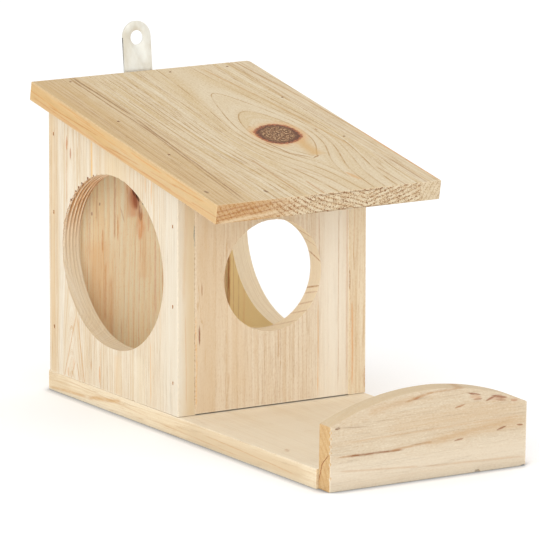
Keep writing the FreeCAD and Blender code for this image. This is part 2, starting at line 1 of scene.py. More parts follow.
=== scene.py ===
# %% [markdown]
# # A squirrel feeder box
# A small house of untreated softwood boards: a base that runs forward as a shelf, four walls with
# three feeding holes, a roof of two glued staves, an arched end board and a steel hanging strap.
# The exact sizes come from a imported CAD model, which is loaded first and never changed. Blender adds
# what CAD leaves out: eased corners, sawn hole walls, punched nail dents and the wood itself.
#
# Everything below counts in millimetres, and MM turns them into Blender's metres. All boards are
# equally thick. The box is the part under the roof, without the shelf. The roof has a slope, and the
# end board has a lean.

# %% Load the frame
import math
from contextlib import contextmanager
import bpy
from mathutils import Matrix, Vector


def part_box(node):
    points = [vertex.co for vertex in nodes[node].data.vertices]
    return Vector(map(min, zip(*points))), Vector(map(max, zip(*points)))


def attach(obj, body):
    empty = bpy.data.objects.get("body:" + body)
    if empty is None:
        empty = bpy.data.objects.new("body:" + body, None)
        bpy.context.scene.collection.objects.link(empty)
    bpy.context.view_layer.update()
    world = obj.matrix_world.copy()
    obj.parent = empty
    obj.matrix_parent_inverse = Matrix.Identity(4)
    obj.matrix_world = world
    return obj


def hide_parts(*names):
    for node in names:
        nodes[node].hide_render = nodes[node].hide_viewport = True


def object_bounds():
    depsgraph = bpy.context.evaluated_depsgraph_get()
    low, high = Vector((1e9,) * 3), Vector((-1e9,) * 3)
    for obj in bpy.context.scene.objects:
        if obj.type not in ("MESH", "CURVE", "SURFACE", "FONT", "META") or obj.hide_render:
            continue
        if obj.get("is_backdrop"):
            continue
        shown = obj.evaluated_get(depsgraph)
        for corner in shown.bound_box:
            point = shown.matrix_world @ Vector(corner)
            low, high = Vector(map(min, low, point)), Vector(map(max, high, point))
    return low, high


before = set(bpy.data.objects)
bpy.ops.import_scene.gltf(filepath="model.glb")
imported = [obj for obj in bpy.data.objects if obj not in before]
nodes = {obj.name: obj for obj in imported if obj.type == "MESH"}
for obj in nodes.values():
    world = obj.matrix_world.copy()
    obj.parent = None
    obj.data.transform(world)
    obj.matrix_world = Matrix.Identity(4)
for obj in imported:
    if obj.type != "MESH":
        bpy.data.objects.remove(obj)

from types import SimpleNamespace

import bpy
from mathutils import Matrix, Vector, noise

cad_low, cad_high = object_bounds()

MM = 0.001
BOARD = 9.3
BOX_HALF = 51.25
BOX_FRONT = -0.95
BOX_REAR = 119.25
BOX_DEPTH = 120.2
SLOPE = math.radians(10.6)
LEAN = math.radians(1.4)
print("frame:", len(nodes), "nodes,", [round(v / MM, 1) for v in cad_high - cad_low], "mm")

# %% [markdown]
# ## Camera
# The photograph was taken with a long lens from the front left, a little above the roof. A camera
# object could be aimed by hand. Here its place and its three axes come from a perspective fit to the
# corners of the boards, so every later comparison with the photograph is like for like.

# %% Camera
SENSOR = 36.0
LENS = 397.67
EYE = Vector((-1.42199, -2.31386, 0.61910))
EYE_RIGHT = Vector((0.85229, -0.52306, 0.00159))
EYE_UP = Vector((0.1017, 0.1687, 0.98041))
EYE_BACK = Vector((-0.51308, -0.83543, 0.19698))

camera_data = bpy.data.cameras.new("photo_camera")
camera_data.sensor_width = SENSOR
camera_data.lens = LENS
camera_data.clip_start = 0.1
camera_data.clip_end = 100.0
camera = bpy.data.objects.new("photo_camera", camera_data)
bpy.context.scene.collection.objects.link(camera)
axes = Matrix((EYE_RIGHT, EYE_UP, EYE_BACK)).transposed().to_4x4()
camera.matrix_world = Matrix.Translation(EYE) @ axes
bpy.context.scene.camera = camera
print("camera:", round(EYE.length, 3), "m from the origin")

# %% [markdown]
# ## Floor and light
# The object stands on a seamless white sweep in a light tent. A wide disc is enough for the floor.
# The tent is an even white world, and one large soft lamp from the left makes the left wall the
# brightest. The thin grey shadow where the base meets the floor is mostly painted shadow, put into
# the floor's finish below.

# %% Floor and light
def take(*things):
    """Select these objects and nothing else. The first becomes the active one."""
    bpy.ops.object.select_all(action="DESELECT")
    for thing in things:
        thing.select_set(True)
    bpy.context.view_layer.objects.active = things[0]


def start(primitive, **settings):
    """Add a primitive with nothing else selected, and return it."""
    bpy.ops.object.select_all(action="DESELECT")
    primitive(**settings)
    return bpy.context.object


floor = start(bpy.ops.mesh.primitive_circle_add, vertices=96, radius=6.0, fill_type="NGON")
floor.name = "floor"
floor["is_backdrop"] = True


def soft_lamp(name, place, target, size, watts):
    """A square area lamp that looks at a target."""
    data = bpy.data.lights.new(name, "AREA")
    data.size = size
    data.energy = watts
    lamp = bpy.data.objects.new(name, data)
    bpy.context.scene.collection.objects.link(lamp)
    aim = (Vector(target) - Vector(place)).to_track_quat("-Z", "Y")
    lamp.matrix_world = Matrix.Translation(place) @ aim.to_matrix().to_4x4()
    return lamp


MIDDLE = (0, 0, 0.08)
soft_lamp("key_lamp", (-1.5, -1.3, 0.7), MIDDLE, size=1.2, watts=12.0)
soft_lamp("front_lamp", (0.4, -2.2, 1.4), MIDDLE, size=1.4, watts=3.0)

world = bpy.data.worlds.new("light_tent")
bpy.context.scene.world = world
world.use_nodes = True
sky = world.node_tree.nodes["Background"].inputs
sky["Color"].default_value = (1, 1, 1, 1)
sky["Strength"].default_value = 1.0
view = bpy.context.scene.view_settings
view.view_transform = "Standard"
view.look = "None"
print("stage: floor disc, two lamps, white world")

# %% [markdown]
# ## Materials as sums
# A procedural material is arithmetic on the position of a point. Wiring every node by hand hides
# that, so one small class wraps a socket and turns Python's operators into Math nodes. All finishes
# read Object coordinates, which are the piece's own place in millimetres here, so a pattern never
# slides over its piece.

# %% A socket that can be added, multiplied and compared
class Wire:
    """A number or vector on its way through a material. Each operator adds its node."""

    def __init__(self, bench, socket):
        self.bench = bench
        self.socket = socket

    def __add__(self, other):
        return self.bench.maths("ADD", self, other)

    def __radd__(self, other):
        return self.bench.maths("ADD", other, self)

    def __sub__(self, other):
        return self.bench.maths("SUBTRACT", self, other)

    def __rsub__(self, other):
        return self.bench.maths("SUBTRACT", other, self)

    def __mul__(self, other):
        return self.bench.maths("MULTIPLY", self, other)

    def __truediv__(self, other):
        return self.bench.maths("DIVIDE", self, other)

    def __rtruediv__(self, other):
        return self.bench.maths("DIVIDE", other, self)

    def __pow__(self, other):
        return self.bench.maths("POWER", self, other)

    def __abs__(self):
        return self.bench.maths("ABSOLUTE", self)

    def __gt__(self, other):
        return self.bench.maths("GREATER_THAN", self, other)

    def __lt__(self, other):
        return self.bench.maths("LESS_THAN", self, other)


def tint(red, green, blue):
    """A colour as a screen shows it, 0 to 255, turned into the linear values that a shader takes."""
    def linear(value):
        value /= 255
        return value / 12.92 if value <= 0.04045 else ((value + 0.055) / 1.055) ** 2.4
    return (linear(red), linear(green), linear(blue), 1.0)


class Bench:
    """One material under construction."""

    def __init__(self, name):
        self.material = bpy.data.materials.new(name)
        self.material.use_nodes = True
        self.tree = self.material.node_tree
        self.shader = self.tree.nodes["Principled BSDF"]

    def node(self, kind, settings=None, **values):
        """Add a node, give it its settings first, then its values or links."""
        made = self.tree.nodes.new("ShaderNode" + kind)
        for key, value in (settings or {}).items():
            setattr(made, key, value)
        for key, value in values.items():
            self.feed(made.inputs[key.replace("_", " ")], value)
        return made

    def feed(self, socket, value):
        """Link a wire to a socket, or set the socket to a plain value."""
        if isinstance(value, Wire):
            self.tree.links.new(value.socket, socket)
        else:
            socket.default_value = value

    def maths(self, operation, *values):
        """One Math node."""
        made = self.node("Math", {"operation": operation})
        for socket, value in zip(made.inputs, values):
            self.feed(socket, value)
        return Wire(self, made.outputs[0])

    def place(self):
        """The point's own place in millimetres, as three wires."""
        where = self.node("TexCoord").outputs["Object"]
        parts = self.node("SeparateXYZ", Vector=Wire(self, where))
        return [Wire(self, parts.outputs[index]) / MM for index in range(3)]

    def facing(self, direction):
        """How squarely the surface faces along a direction, front or back: 0 to 1."""
        normal = Wire(self, self.node("NewGeometry").outputs["Normal"])
        dot = self.node("VectorMath", {"operation": "DOT_PRODUCT"})
        self.feed(dot.inputs[0], normal)
        dot.inputs[1].default_value = direction
        return abs(Wire(self, dot.outputs["Value"]))

    def vector(self, across, along, up):
        """Three numbers as one vector."""
        made = self.node("CombineXYZ", X=across, Y=along, Z=up)
        return Wire(self, made.outputs[0])

    def noise(self, across, along, up, detail=2.0, roughness=0.5):
        """Smooth noise around a half. The scale is in the numbers that it is given."""
        made = self.node("TexNoise", {"noise_dimensions": "3D"}, Vector=self.vector(across, along, up),
                         Scale=1.0, Detail=detail, Roughness=roughness)
        return Wire(self, made.outputs[0])

    def soft(self, value, low, high, most=1.0):
        """0 below low, most above high, and an S between them. It falls where low is the larger."""
        made = self.node("MapRange", {"interpolation_type": "SMOOTHSTEP"}, Value=value,
                         From_Min=low, From_Max=high, To_Min=0.0, To_Max=most)
        return Wire(self, made.outputs[0])

    def mix(self, first, second, amount, blend="MIX"):
        """Two colours mixed by an amount."""
        made = self.node("Mix", {"data_type": "RGBA", "blend_type": blend, "clamp_factor": True})
        self.feed(made.inputs[0], amount)
        self.feed(made.inputs[6], first)
        self.feed(made.inputs[7], second)
        return Wire(self, made.outputs[2])

    def finish(self, colour, roughness, height=None, depth=0.1):
        """Feed the shader. height is a relief from 0 to 1, and depth its size in millimetres."""
        self.feed(self.shader.inputs["Base Color"], colour)
        self.feed(self.shader.inputs["Roughness"], roughness)
        if height is not None:
            bump = self.node("Bump", Strength=1.0, Distance=depth * MM, Height=height)
            self.feed(self.shader.inputs["Normal"], Wire(self, bump.outputs[0]))
        return self.material


print("materials: socket class ready")

# %% [markdown]
# ## Softwood
# A board is a slice through a trunk. Each year adds a shell of pale spring wood that ends in a thin
# darker line of summer wood. So the figure on every face comes from one sum: the distance to the
# trunk's heart line, divided by the width of a ring. Where the slice runs nearly along a shell, the
# lines spread into arches, and round a knot they swell out. Painting stripes on each face would be
# quicker, but they wouldn't meet at the corners or turn into arcs on the end grain.
#
# In each board, a counts across the grain, l along it and t into the thickness. A look says where the
# heart line lies, how wide the rings are, which colours the wood has and how strong each pattern is.
# Its marks are single lines measured in the photograph: from l and a, to l and a, width, strength
# and colour. side_marks are the same on the board's edge, with t in the place of a.

# %% Softwood material
CREAM = tint(240, 228, 204)
AMBER = (222, 168, 96)
BROWN = tint(150, 98, 52)
DARK = tint(84, 50, 38)


def ring_field(bench, a, l, t, look):
    """Distance to the heart line in mm, how fast it changes over the face, and how far off it is."""
    seed = look["seed"]
    heart_a, heart_t = look["heart"]
    drift = l - look.get("middle", 60.0)
    sway = (bench.noise(a * 0.02, l * 0.013, t * 0.03 + seed, 2.0) - 0.5) * look.get("sway", 3.0)
    flow = (a - heart_a - drift * look.get("lean", 0.0)) * (1.0 - drift * look.get("fan", 0.0)) + sway
    away = (flow ** 2 + (t - heart_t) ** 2) ** 0.5
    field = away - abs(heart_t)
    steep_a = flow / away
    steep_l = flow * 0.0
    if look.get("pinch"):
        cusp = bench.soft(drift, -10.0, 60.0) * look["pinch"] / (1.0 + (flow / 14.0) ** 2)
        field = field + cusp * abs(flow)
        steep_a = steep_a + cusp * bench.maths("SIGN", flow)
    for spot_a, spot_l, swell, reach_a, reach_l in look.get("swellings", ()):
        across = (a - spot_a) / reach_a
        along = (l - spot_l) / reach_l
        near = 1.0 / (1.0 + across ** 2 + along ** 2)
        field = field - near * swell
        steep_a = steep_a + near ** 2 * across * (2.0 * swell / reach_a)
        steep_l = steep_l + near ** 2 * along * (2.0 * swell / reach_l)
    steep = bench.maths("MAXIMUM", (steep_a ** 2 + steep_l ** 2) ** 0.5, 0.05)
    return field, steep, abs(flow)


def streaks(bench, colour, a, l, marks, seed):
    """Draw single marks, each from (from_l, from_a) to (to_l, to_a), with a width in mm.

    A mark wanders a little and is ragged at its sides. A short one also narrows to its ends.
    """
    broken = bench.soft(bench.noise(l * 0.16, a * 1.5, seed, 2.0), 0.25, 0.55)
    thin, broad = broken * 0.6 + 0.4, broken * 0.1 + 0.9
    wave = (bench.noise(l * 0.05, a * 0.02, seed + 4.0, 2.0) - 0.5) * 1.8
    hairy = bench.noise(l * 0.5, a * 2.2, seed + 8.0, 3.0, 0.7) - 0.5
    for from_l, from_a, to_l, to_a, width, strength, shade in marks:
        slope = (to_a - from_a) / (to_l - from_l)
        short = to_l - from_l < 20
        run = (to_l - from_l) * (0.5 if short else 0.3)
        path = bench.maths("MULTIPLY_ADD", l, -slope, a)
        path = bench.maths("MULTIPLY_ADD", wave, min(1.0, 0.3 + width * 0.2), path)
        path = bench.maths("MULTIPLY_ADD", hairy, min(1.2, width * 0.9), path)
        offset = abs(path - (from_a - from_l * slope))
        begin = bench.soft(l, from_l - 0.1 * run, from_l + run)
        window = begin * bench.soft(l, to_l + 0.1 * run, to_l - run)
        reach = bench.maths("MULTIPLY_ADD", window, 0.75 * width, 0.25 * width) if short else width
        inside = bench.soft(offset, reach, 0.0) * (thin if width < 5 else broad)
        colour = bench.mix(colour, tint(*shade), inside * bench.soft(window, 0.0, 0.5, strength))
    return colour


def arris(bench, a, l, t, box):
    """How near a point of a box-shaped board is to one of its long corners, in mm."""
    away = []
    for value, (low, high) in zip((a, l, t), box):
        away.append(bench.maths("MINIMUM", abs(value - low), abs(value - high)))
    least = bench.maths("MINIMUM", away[0], away[1])
    most = bench.maths("MAXIMUM", away[0], away[1])
    return bench.maths("MAXIMUM", least, bench.maths("MINIMUM", most, away[2]))


def saw_phase(a, l, t):
    """The saw's strokes, counted through a hole's wall. The mesh and its finish both follow it."""
    return (t + t * t * 0.02 + a * 0.06 - a * a * 0.0003 + l * 0.02) / 2.2


def growth(bench, a, l, t, look):
    """Every pattern that growing leaves in a board, each one a wire from 0 to 1."""
    seed, ring = look["seed"], look["ring"]
    field, steep, off_heart = ring_field(bench, a, l, t, look)
    uneven = (bench.noise(a * 0.03, l * 0.004, seed, 1.0) - 0.5) * look.get("uneven", 1.0)
    turns = field / ring + uneven + look.get("phase", 0.0)
    part = bench.maths("FRACT", turns)
    year = bench.maths("FLOOR", turns)
    lucky = bench.noise(year * 7.31 + seed, 0.5, 0.5, 0.0)
    late = (1.0 - part) * ring / steep
    first, last = look.get("bold_years", (9e9, -9e9))
    bold = (year > first - 0.5) * (year < last + 0.5)
    drawn = bench.maths("MAXIMUM", bench.soft(lucky, 0.36, 0.6) * 0.8 + 0.2, bold)
    line = (1.0 - bench.soft(late, 0.1, look.get("line_width", 0.75))) * drawn
    faint = bench.noise(a * 0.06, l * 0.07, t * 0.1 + seed + 6.0, 2.0)
    gap = bench.noise(field * 0.9, l * 0.03, seed + 7.0, 2.0, 0.6)
    streak = bench.noise(field * 1.3, l * 0.014, seed + 2.0, 3.0, 0.7)
    calm = look.get("calm", 0.1)
    busy = bench.soft(off_heart, 0.4 * calm, calm) * 0.85 + 0.15
    hair = 1.0 - bench.soft(abs(streak - 0.5), 0.004, look.get("hair_width", 0.022))
    return SimpleNamespace(
        part=part, streak=streak, busy=busy,
        grow=bench.soft(part, 0.05, 0.9) * (1.0 - bench.soft(part, 0.93, 1.0)),
        line=line * (bench.soft(faint, 0.42, 0.56) * 0.6 + 0.4),
        hair=hair * bench.soft(gap, 0.47, 0.62) * busy,
        ply=bench.noise(field * 0.45, l * 0.008, seed, 2.0, 0.55),
        fibre=bench.noise(a * 2.3 + field, l * 0.09, t * 2.3 + seed, 3.0, 0.75),
        cloud=bench.noise(a * 0.05, l * 0.014, t * 0.05 + seed, 2.0, 0.5),
        speck=bench.noise(a * 1.15, l * 0.75, t + seed, 2.0, 0.85))


def long_grain(bench, a, l, t, look, grown):
    """The colour along the grain: bands first, then lines and fibres, then grit."""
    pale, deep, line = look["pale"], look["deep"], look["line"]
    light = look.get("light", CREAM)
    grit = bench.noise(a * 1.7, l * 0.8, t * 1.7 + look["seed"] + 9.0, 1.0, 0.5)
    gritty = look.get("grit", 0.2)
    stripe = look.get("streak", 0.55)
    colour = bench.mix(pale, deep, grown.grow * look.get("contrast", 0.35))
    for shade, amount in (
            (deep, bench.soft(grown.cloud, 0.45, 0.8) * look.get("cloud", 0.4)),
            (deep, bench.soft(grown.ply, 0.48, 0.7) * look.get("ply", 0.6)),
            (light, bench.soft(1.0 - grown.ply, 0.5, 0.72) * look.get("lift", 0.5)),
            (deep, bench.soft(grown.streak, 0.5, 0.64) * grown.busy * stripe),
            (light, bench.soft(1.0 - grown.streak, 0.5, 0.64) * grown.busy * stripe),
            (line, grown.line * look.get("lines_depth", 0.6)),
            (line, grown.hair * look.get("hair", 0.7)),
            (line, bench.soft(grown.fibre, 0.52, 0.68) * look.get("fibre", 0.26)),
            (CREAM, bench.soft(1.0 - grown.fibre, 0.52, 0.68) * look.get("glint", 0.2)),
            (line, bench.soft(grit, 0.56, 0.72) * gritty),
            (CREAM, bench.soft(1.0 - grit, 0.56, 0.72) * gritty * 0.8)):
        colour = bench.mix(colour, shade, amount)
    return colour


def own_marks(bench, colour, a, l, t, look, grown, sawn):
    """Painted light on faces looking one way and on the far face, then the board's marks, which a sawn
    wall lacks.
    """
    if look.get("facing_painted_light") and not sawn:
        direction, painted_tone, amount = look["facing_painted_light"]
        patchy = bench.soft(grown.streak, 0.3, 0.6) * 0.5 + 0.5
        edge = bench.soft(bench.facing(direction), 0.6, 0.9) * patchy
        colour = bench.mix(colour, painted_tone, edge * amount)
    if look.get("far_face_painted_light"):
        painted_tone, amount, blend = look["far_face_painted_light"]
        colour = bench.mix(colour, painted_tone, bench.soft(t, BOARD - 0.2, BOARD - 0.02, amount), blend)
    if not sawn:
        colour = streaks(bench, colour, a, l, look.get("marks", ()), look["seed"])
        if look.get("side_marks"):
            colour = streaks(bench, colour, t, l, look["side_marks"], look["seed"])
    return colour


def draw_knots(bench, colour, relief, a, l, t, look, grown):
    """Knots: a red glow, a red rim, a dark ring and a speckled heart, on a rougher ground."""
    speck = grown.speck
    ragged = (bench.noise(a * 0.5, l * 0.4, t * 0.4 + look["seed"], 4.0, 0.7) - 0.5) * 0.3
    for spot_a, spot_l, wide, long, turn in look.get("knots", ()):
        across = ((a - spot_a) * math.cos(turn) + (l - spot_l) * math.sin(turn)) / wide
        along = ((l - spot_l) * math.cos(turn) - (a - spot_a) * math.sin(turn)) / long
        lens = (abs(along) + (along ** 2 + across ** 2 * 4.0) ** 0.5) * 0.5
        near = lens * 0.4 + (along ** 2 + across ** 2) ** 0.5 * 0.6 + ragged
        glow = (1.0 - bench.soft(near, 0.95, 1.45)) * (0.3 + bench.soft(grown.ply, 0.35, 0.6) * 0.7)
        rim = 1.0 - bench.soft(near, 0.98, 1.07)
        dark = 1.0 - bench.soft(near + (speck - 0.5) * 0.7, 0.86, 1.0)
        heart = 1.0 - bench.soft(near + across ** 2 * 0.1 + (speck - 0.5) * 0.8, 0.74, 0.92)
        for shade, amount in (
                (tint(214, 160, 104), glow * 0.65), (tint(170, 94, 54), rim * 0.85),
                (DARK, dark * 0.9), (tint(138, 98, 64), heart * 0.9),
                (tint(220, 184, 140), heart * bench.soft(speck, 0.54, 0.63) * 0.95),
                (tint(54, 28, 18), heart * bench.soft(1.0 - speck, 0.52, 0.61) * 0.95)):
            colour = bench.mix(colour, shade, amount)
        relief = relief * (1.0 - rim) + rim * (speck * 1.4 - 0.1)
    return colour, relief


def end_grain(bench, colour, relief, a, l, t, look, grown, sawn):
    """Where the surface crosses the grain: rows of pores that follow the rings."""
    seed, part = look["seed"], grown.part
    pores = look.get("pores", 0.45)
    pore = bench.noise(a * 2.1, l * 2.1, t * 2.1 + seed, 2.0, 0.6)
    blotch = bench.noise(a * 0.3, l * 0.3, t * 0.45 + seed, 3.0, 0.6)
    row = bench.soft(part, 0.4, 0.8) * (1.0 - bench.soft(part, 0.92, 1.0))
    stroke = (a * 0.42 - t + bench.noise(a * 0.2, t * 0.2, seed, 1.0) * 2.0) / 1.3
    hatch = bench.soft(abs(bench.maths("FRACT", stroke) * 2.0 - 1.0), 0.5, 0.9)
    hatch = hatch * bench.soft(blotch, 0.42, 0.58)
    deeper = row * 0.34 + bench.soft(blotch, 0.42, 0.62) * 0.4
    pitted = bench.soft(pore + row * 0.09 + hatch * 0.07, 0.57, 0.66) * pores
    cut = bench.mix(look["end_pale"], look["end_deep"], deeper)
    cut = bench.mix(cut, tint(136, 92, 56), pitted)
    cut = bench.mix(cut, tint(92, 56, 34), bench.soft(pore + row * 0.04, 0.69, 0.74) * pores)
    cut = bench.mix(cut, CREAM, bench.soft(1.0 - pore, 0.56, 0.68) * 0.18)
    if look.get("end_lift"):
        from_a, to_a, lifted, amount = look["end_lift"]
        cut = bench.mix(cut, lifted, bench.soft(a, from_a, to_a) * amount)
    cut = streaks(bench, cut, t, a, look.get("end_marks", ()), seed)
    ends = bench.soft(bench.facing(look["grain"]), 0.5, 0.85)
    if sawn:
        ends = ends * 0.35
    relief = relief * (1.0 - ends) + ends * (pore * 1.8 + row * 0.3)
    return bench.mix(colour, cut, ends), relief, ends


def sawn_wall(bench, colour, relief, a, l, t, look, sawn):
    """A hole's wall: painted light, singed by the blade, ridges with painted highlight and shade, torn
    lip.
    """
    seed = look["seed"]
    zone_a, zone_l, reach = sawn["rough_at"]
    rough_zone = 1.0 / (1.0 + (((a - zone_a) ** 2 + (l - zone_l) ** 2) / reach ** 2) ** 2)
    tooth = abs(bench.maths("FRACT", saw_phase(a, l, t)) * 2.0 - 1.0)
    wave = (bench.noise(a * 0.06, l * 0.06, seed, 2.0) - 0.5) * 2.5
    ridge = bench.noise((t + wave) * 1.9, a * 0.03, l * 0.03 + seed, 3.0, 0.7)
    fuzz = bench.noise(t * 1.2, a * 1.2, l * 1.2, 4.0, 0.8)
    broken = bench.soft(bench.noise(t * 0.4, a * 0.12, l * 0.12 + 3.0, 3.0, 0.6), 0.35, 0.55)
    marked = rough_zone * sawn["chatter"]
    lip = (1.0 - bench.soft(t, 0.4, 1.3)) * marked * bench.soft(fuzz, 0.48, 0.56)
    # Painted light: the whole wall is lifted towards pale cream against the shade inside the hole.
    colour = bench.mix(colour, tint(252, 236, 206), sawn.get("painted_light_lift", 0.0))
    colour = bench.mix(colour, tint(206, 142, 78), rough_zone * sawn.get("singed", 0.0))
    arcs = [(*arc, (190, 138, 86)) for arc in sawn.get("arcs", ())]
    colour = streaks(bench, colour, t, l, arcs, seed)
    # The tooth pattern follows the mesh's ridges: pale on each crest is a painted highlight, brown in
    # each groove partly painted shade.
    for shade, amount in (
            (look["deep"], bench.soft(ridge, 0.42, 0.6) * sawn["strength"]),
            (CREAM, bench.soft(1.0 - ridge, 0.52, 0.68) * sawn["strength"] * 0.7),
            (tint(166, 116, 68), bench.soft(tooth, 0.35, 0.8) * marked * (broken * 0.6 + 0.4)),
            (tint(252, 240, 214), (1.0 - bench.soft(tooth, 0.08, 0.34)) * marked * broken),
            (tint(140, 92, 54), bench.soft(fuzz, 0.6, 0.68) * (marked * 0.5 + 0.2)),
            (tint(104, 60, 34), lip * 0.9)):
        colour = bench.mix(colour, shade, amount)
    return colour, relief * 0.4 + ridge * 0.6 - tooth * marked * 0.6 + fuzz * 0.5


def softwood(name, look, sawn=None):
    """The finish of one board, or, with sawn, of a sawn hole wall through it."""
    bench = Bench(name)
    a, l, t = look["axes"](*bench.place())
    grown = growth(bench, a, l, t, look)
    colour = long_grain(bench, a, l, t, look, grown)
    colour = own_marks(bench, colour, a, l, t, look, grown, sawn)
    fleck = bench.noise(a * 1.1, l * 0.22, t * 1.1 + look["seed"] + 5.0, 3.0, 0.65)
    colour = bench.mix(colour, BROWN, bench.soft(fleck, 0.72, 0.8) * look.get("fleck", 0.5))
    relief = grown.fibre * 0.45 + grown.line * 0.35 + grown.hair * -0.3 + grown.streak * 0.35
    colour, relief = draw_knots(bench, colour, relief, a, l, t, look, grown)
    corner = arris(bench, a, l, t, look["box"])
    worn = (1.0 - bench.soft(corner, 0.25, 1.0)) * bench.soft(grown.speck, 0.35, 0.6)
    colour = bench.mix(colour, look.get("worn", CREAM), worn * 0.45)
    colour, relief, ends = end_grain(bench, colour, relief, a, l, t, look, grown, sawn)
    if sawn:
        colour, relief = sawn_wall(bench, colour, relief, a, l, t, look, sawn)
    rough = 0.60 + grown.fibre * 0.14 - grown.line * 0.05 + ends * 0.12
    bench.shader.inputs["Specular IOR Level"].default_value = 0.25
    return bench.finish(colour, rough, relief, depth=0.14)


print("materials: softwood ready")

# %% [markdown]
# ## Bruised dents and steel
# A dent is where a nail's head crushed and darkened the wood. The steel is either bright zinc plate
# or plain drawn wire. A dent's finish goes on its cutter, and the boolean cut hands it on to the
# faces that it makes.

# %% Shared finishes
def bruise(name, pale, deep):
    """Wood crushed and stained by a driven nail."""
    bench = Bench(name)
    x, y, z = bench.place()
    grain = bench.noise(x * 3.0, y * 3.0, z * 3.0, 3.0, 0.7)
    colour = bench.mix(pale, deep, bench.soft(grain, 0.35, 0.6))
    return bench.finish(colour, 0.8, grain, depth=0.2)


def steel(name, bright, dull, roughness, scratch):
    """Plated or drawn steel: soft clouds of dullness, and fine scratches along its length."""
    bench = Bench(name)
    x, y, z = bench.place()
    cloud = bench.noise(x * 0.12, y * 0.12, z * 0.08, 3.0, 0.6)
    line = bench.noise(x * 5.0, y * 5.0, z * 0.25, 3.0, 0.7)
    speck = bench.noise(x * 2.2, y * 2.2, z * 2.2, 4.0, 0.8)
    colour = bench.mix(bright, dull, bench.soft(cloud, 0.35, 0.68))
    colour = bench.mix(colour, dull, bench.soft(speck, 0.62, 0.8) * 0.5)
    bench.shader.inputs["Metallic"].default_value = 1.0
    rough = roughness + cloud * 0.15 + line * 0.1
    return bench.finish(colour, rough, line * scratch + speck * 0.3, depth=0.02)


DENT = bruise("dented_wood", tint(228, 184, 136), tint(176, 120, 76))
DARK_DENT = bruise("stained_wood", tint(176, 122, 78), tint(112, 66, 40))
ZINC = steel("zinc_plate", tint(236, 234, 224), tint(220, 214, 198), 0.30, 0.6)
SCREW_ZINC = steel("screw_zinc", tint(226, 224, 216), tint(190, 186, 176), 0.28, 0.4)
WIRE_STEEL = steel("nail_wire", tint(204, 174, 140), tint(156, 122, 92), 0.5, 0.8)
print("materials: bruise and three steels ready")

# %% [markdown]
# ## Bench tools
# Each helper is one thing that a person does at the bench or in edit mode: square a blank, saw it
# with one straight cut, ease its corners, bore a hole, punch the nails below the surface. A board
# made in this order keeps the CAD model's sizes, because every cut is placed by them.

# %% Bench tools
@contextmanager
def edit_mode():
    """What stands in the with block is done in edit mode."""
    bpy.ops.object.mode_set(mode="EDIT")
    yield
    bpy.ops.object.mode_set(mode="OBJECT")


def settle(thing):
    """Put an object's place, turn and size into its mesh."""
    take(thing)
    bpy.ops.object.transform_apply(location=True, rotation=True, scale=True)


def blank(name, low, high):
    """A squared blank: a cube set to its size and place, in millimetres."""
    low, high = Vector(low), Vector(high)
    board = start(bpy.ops.mesh.primitive_cube_add, size=1, location=(low + high) / 2 * MM)
    board.name = name
    board.scale = (high - low) * MM
    settle(board)
    return board


def saw(board, point, normal):
    """One straight cut. What lies on the side that normal points to falls off."""
    take(board)
    with edit_mode():
        bpy.ops.mesh.select_all(action="SELECT")
        bpy.ops.mesh.bisect(plane_co=Vector(point) * MM, plane_no=Vector(normal).normalized(),
                            use_fill=True, clear_outer=True)


def select_none(thing, kind):
    """Deselect a whole mesh, and go over to selecting by its edges or its faces."""
    take(thing)
    with edit_mode():
        bpy.ops.mesh.select_mode(type=kind)
        bpy.ops.mesh.select_all(action="DESELECT")


def select_edges(board, wanted):
    """Select the edges whose two ends, in millimetres, pass a test."""
    select_none(board, "EDGE")
    for edge in board.data.edges:
        first, second = (board.data.vertices[index].co / MM for index in edge.vertices)
        edge.select = wanted(first, second)


def ease(board, width, segments=2, wanted=lambda first, second: True):
    """Take the sharpness off the chosen corners, as sandpaper does."""
    select_edges(board, wanted)
    with edit_mode():
        bpy.ops.mesh.bevel(offset=width * MM, segments=segments, affect="EDGES")


def ease_sharp(board, width, degrees=50):
    """The same for every edge that is sharper than an angle."""
    work(board, "BEVEL", width=width * MM, segments=2, limit_method="ANGLE",
         angle_limit=math.radians(degrees))


def work(thing, kind, **settings):
    """Add one modifier, set it and apply it."""
    take(thing)
    modifier = thing.modifiers.new(kind.lower(), kind)
    for key, value in settings.items():
        setattr(modifier, key, value)
    bpy.ops.object.modifier_apply(modifier=modifier.name)


def dress(thing, material):
    """Give a piece its finish."""
    thing.data.materials.clear()
    thing.data.materials.append(material)


def cut_away(board, tools):
    """Cut several tools out of a board at once. The new faces keep the tools' finishes."""
    take(*tools)
    if len(tools) > 1:
        bpy.ops.object.join()
    tool = bpy.context.object
    work(board, "BOOLEAN", object=tool, operation="DIFFERENCE", solver="EXACT",
         material_mode="TRANSFER", use_self=False)
    bpy.data.objects.remove(tool)


def frame_of(right, up, out):
    """A turn whose X, Y and Z go to these three directions."""
    return Matrix((Vector(right), Vector(up), Vector(out))).transposed().to_4x4()


def nick(centre, size, spin, finish):
    """A small chip out of a corner: a squashed ball, in millimetres."""
    chip = start(bpy.ops.mesh.primitive_ico_sphere_add, subdivisions=2, radius=1)
    for vertex in chip.data.vertices:
        vertex.co *= 1.0 + 0.35 * noise.noise(vertex.co * 1.7 + Vector(centre))
    chip.data.transform(Matrix.Diagonal(Vector(size) * MM).to_4x4())
    chip.data.transform(Matrix.Translation(Vector(centre) * MM) @ Matrix.Rotation(spin, 4, "Y"))
    dress(chip, finish)
    return chip


NAIL_APART = 4
DENT_DEEP = 3.2
CUT_THROUGH = 10.5


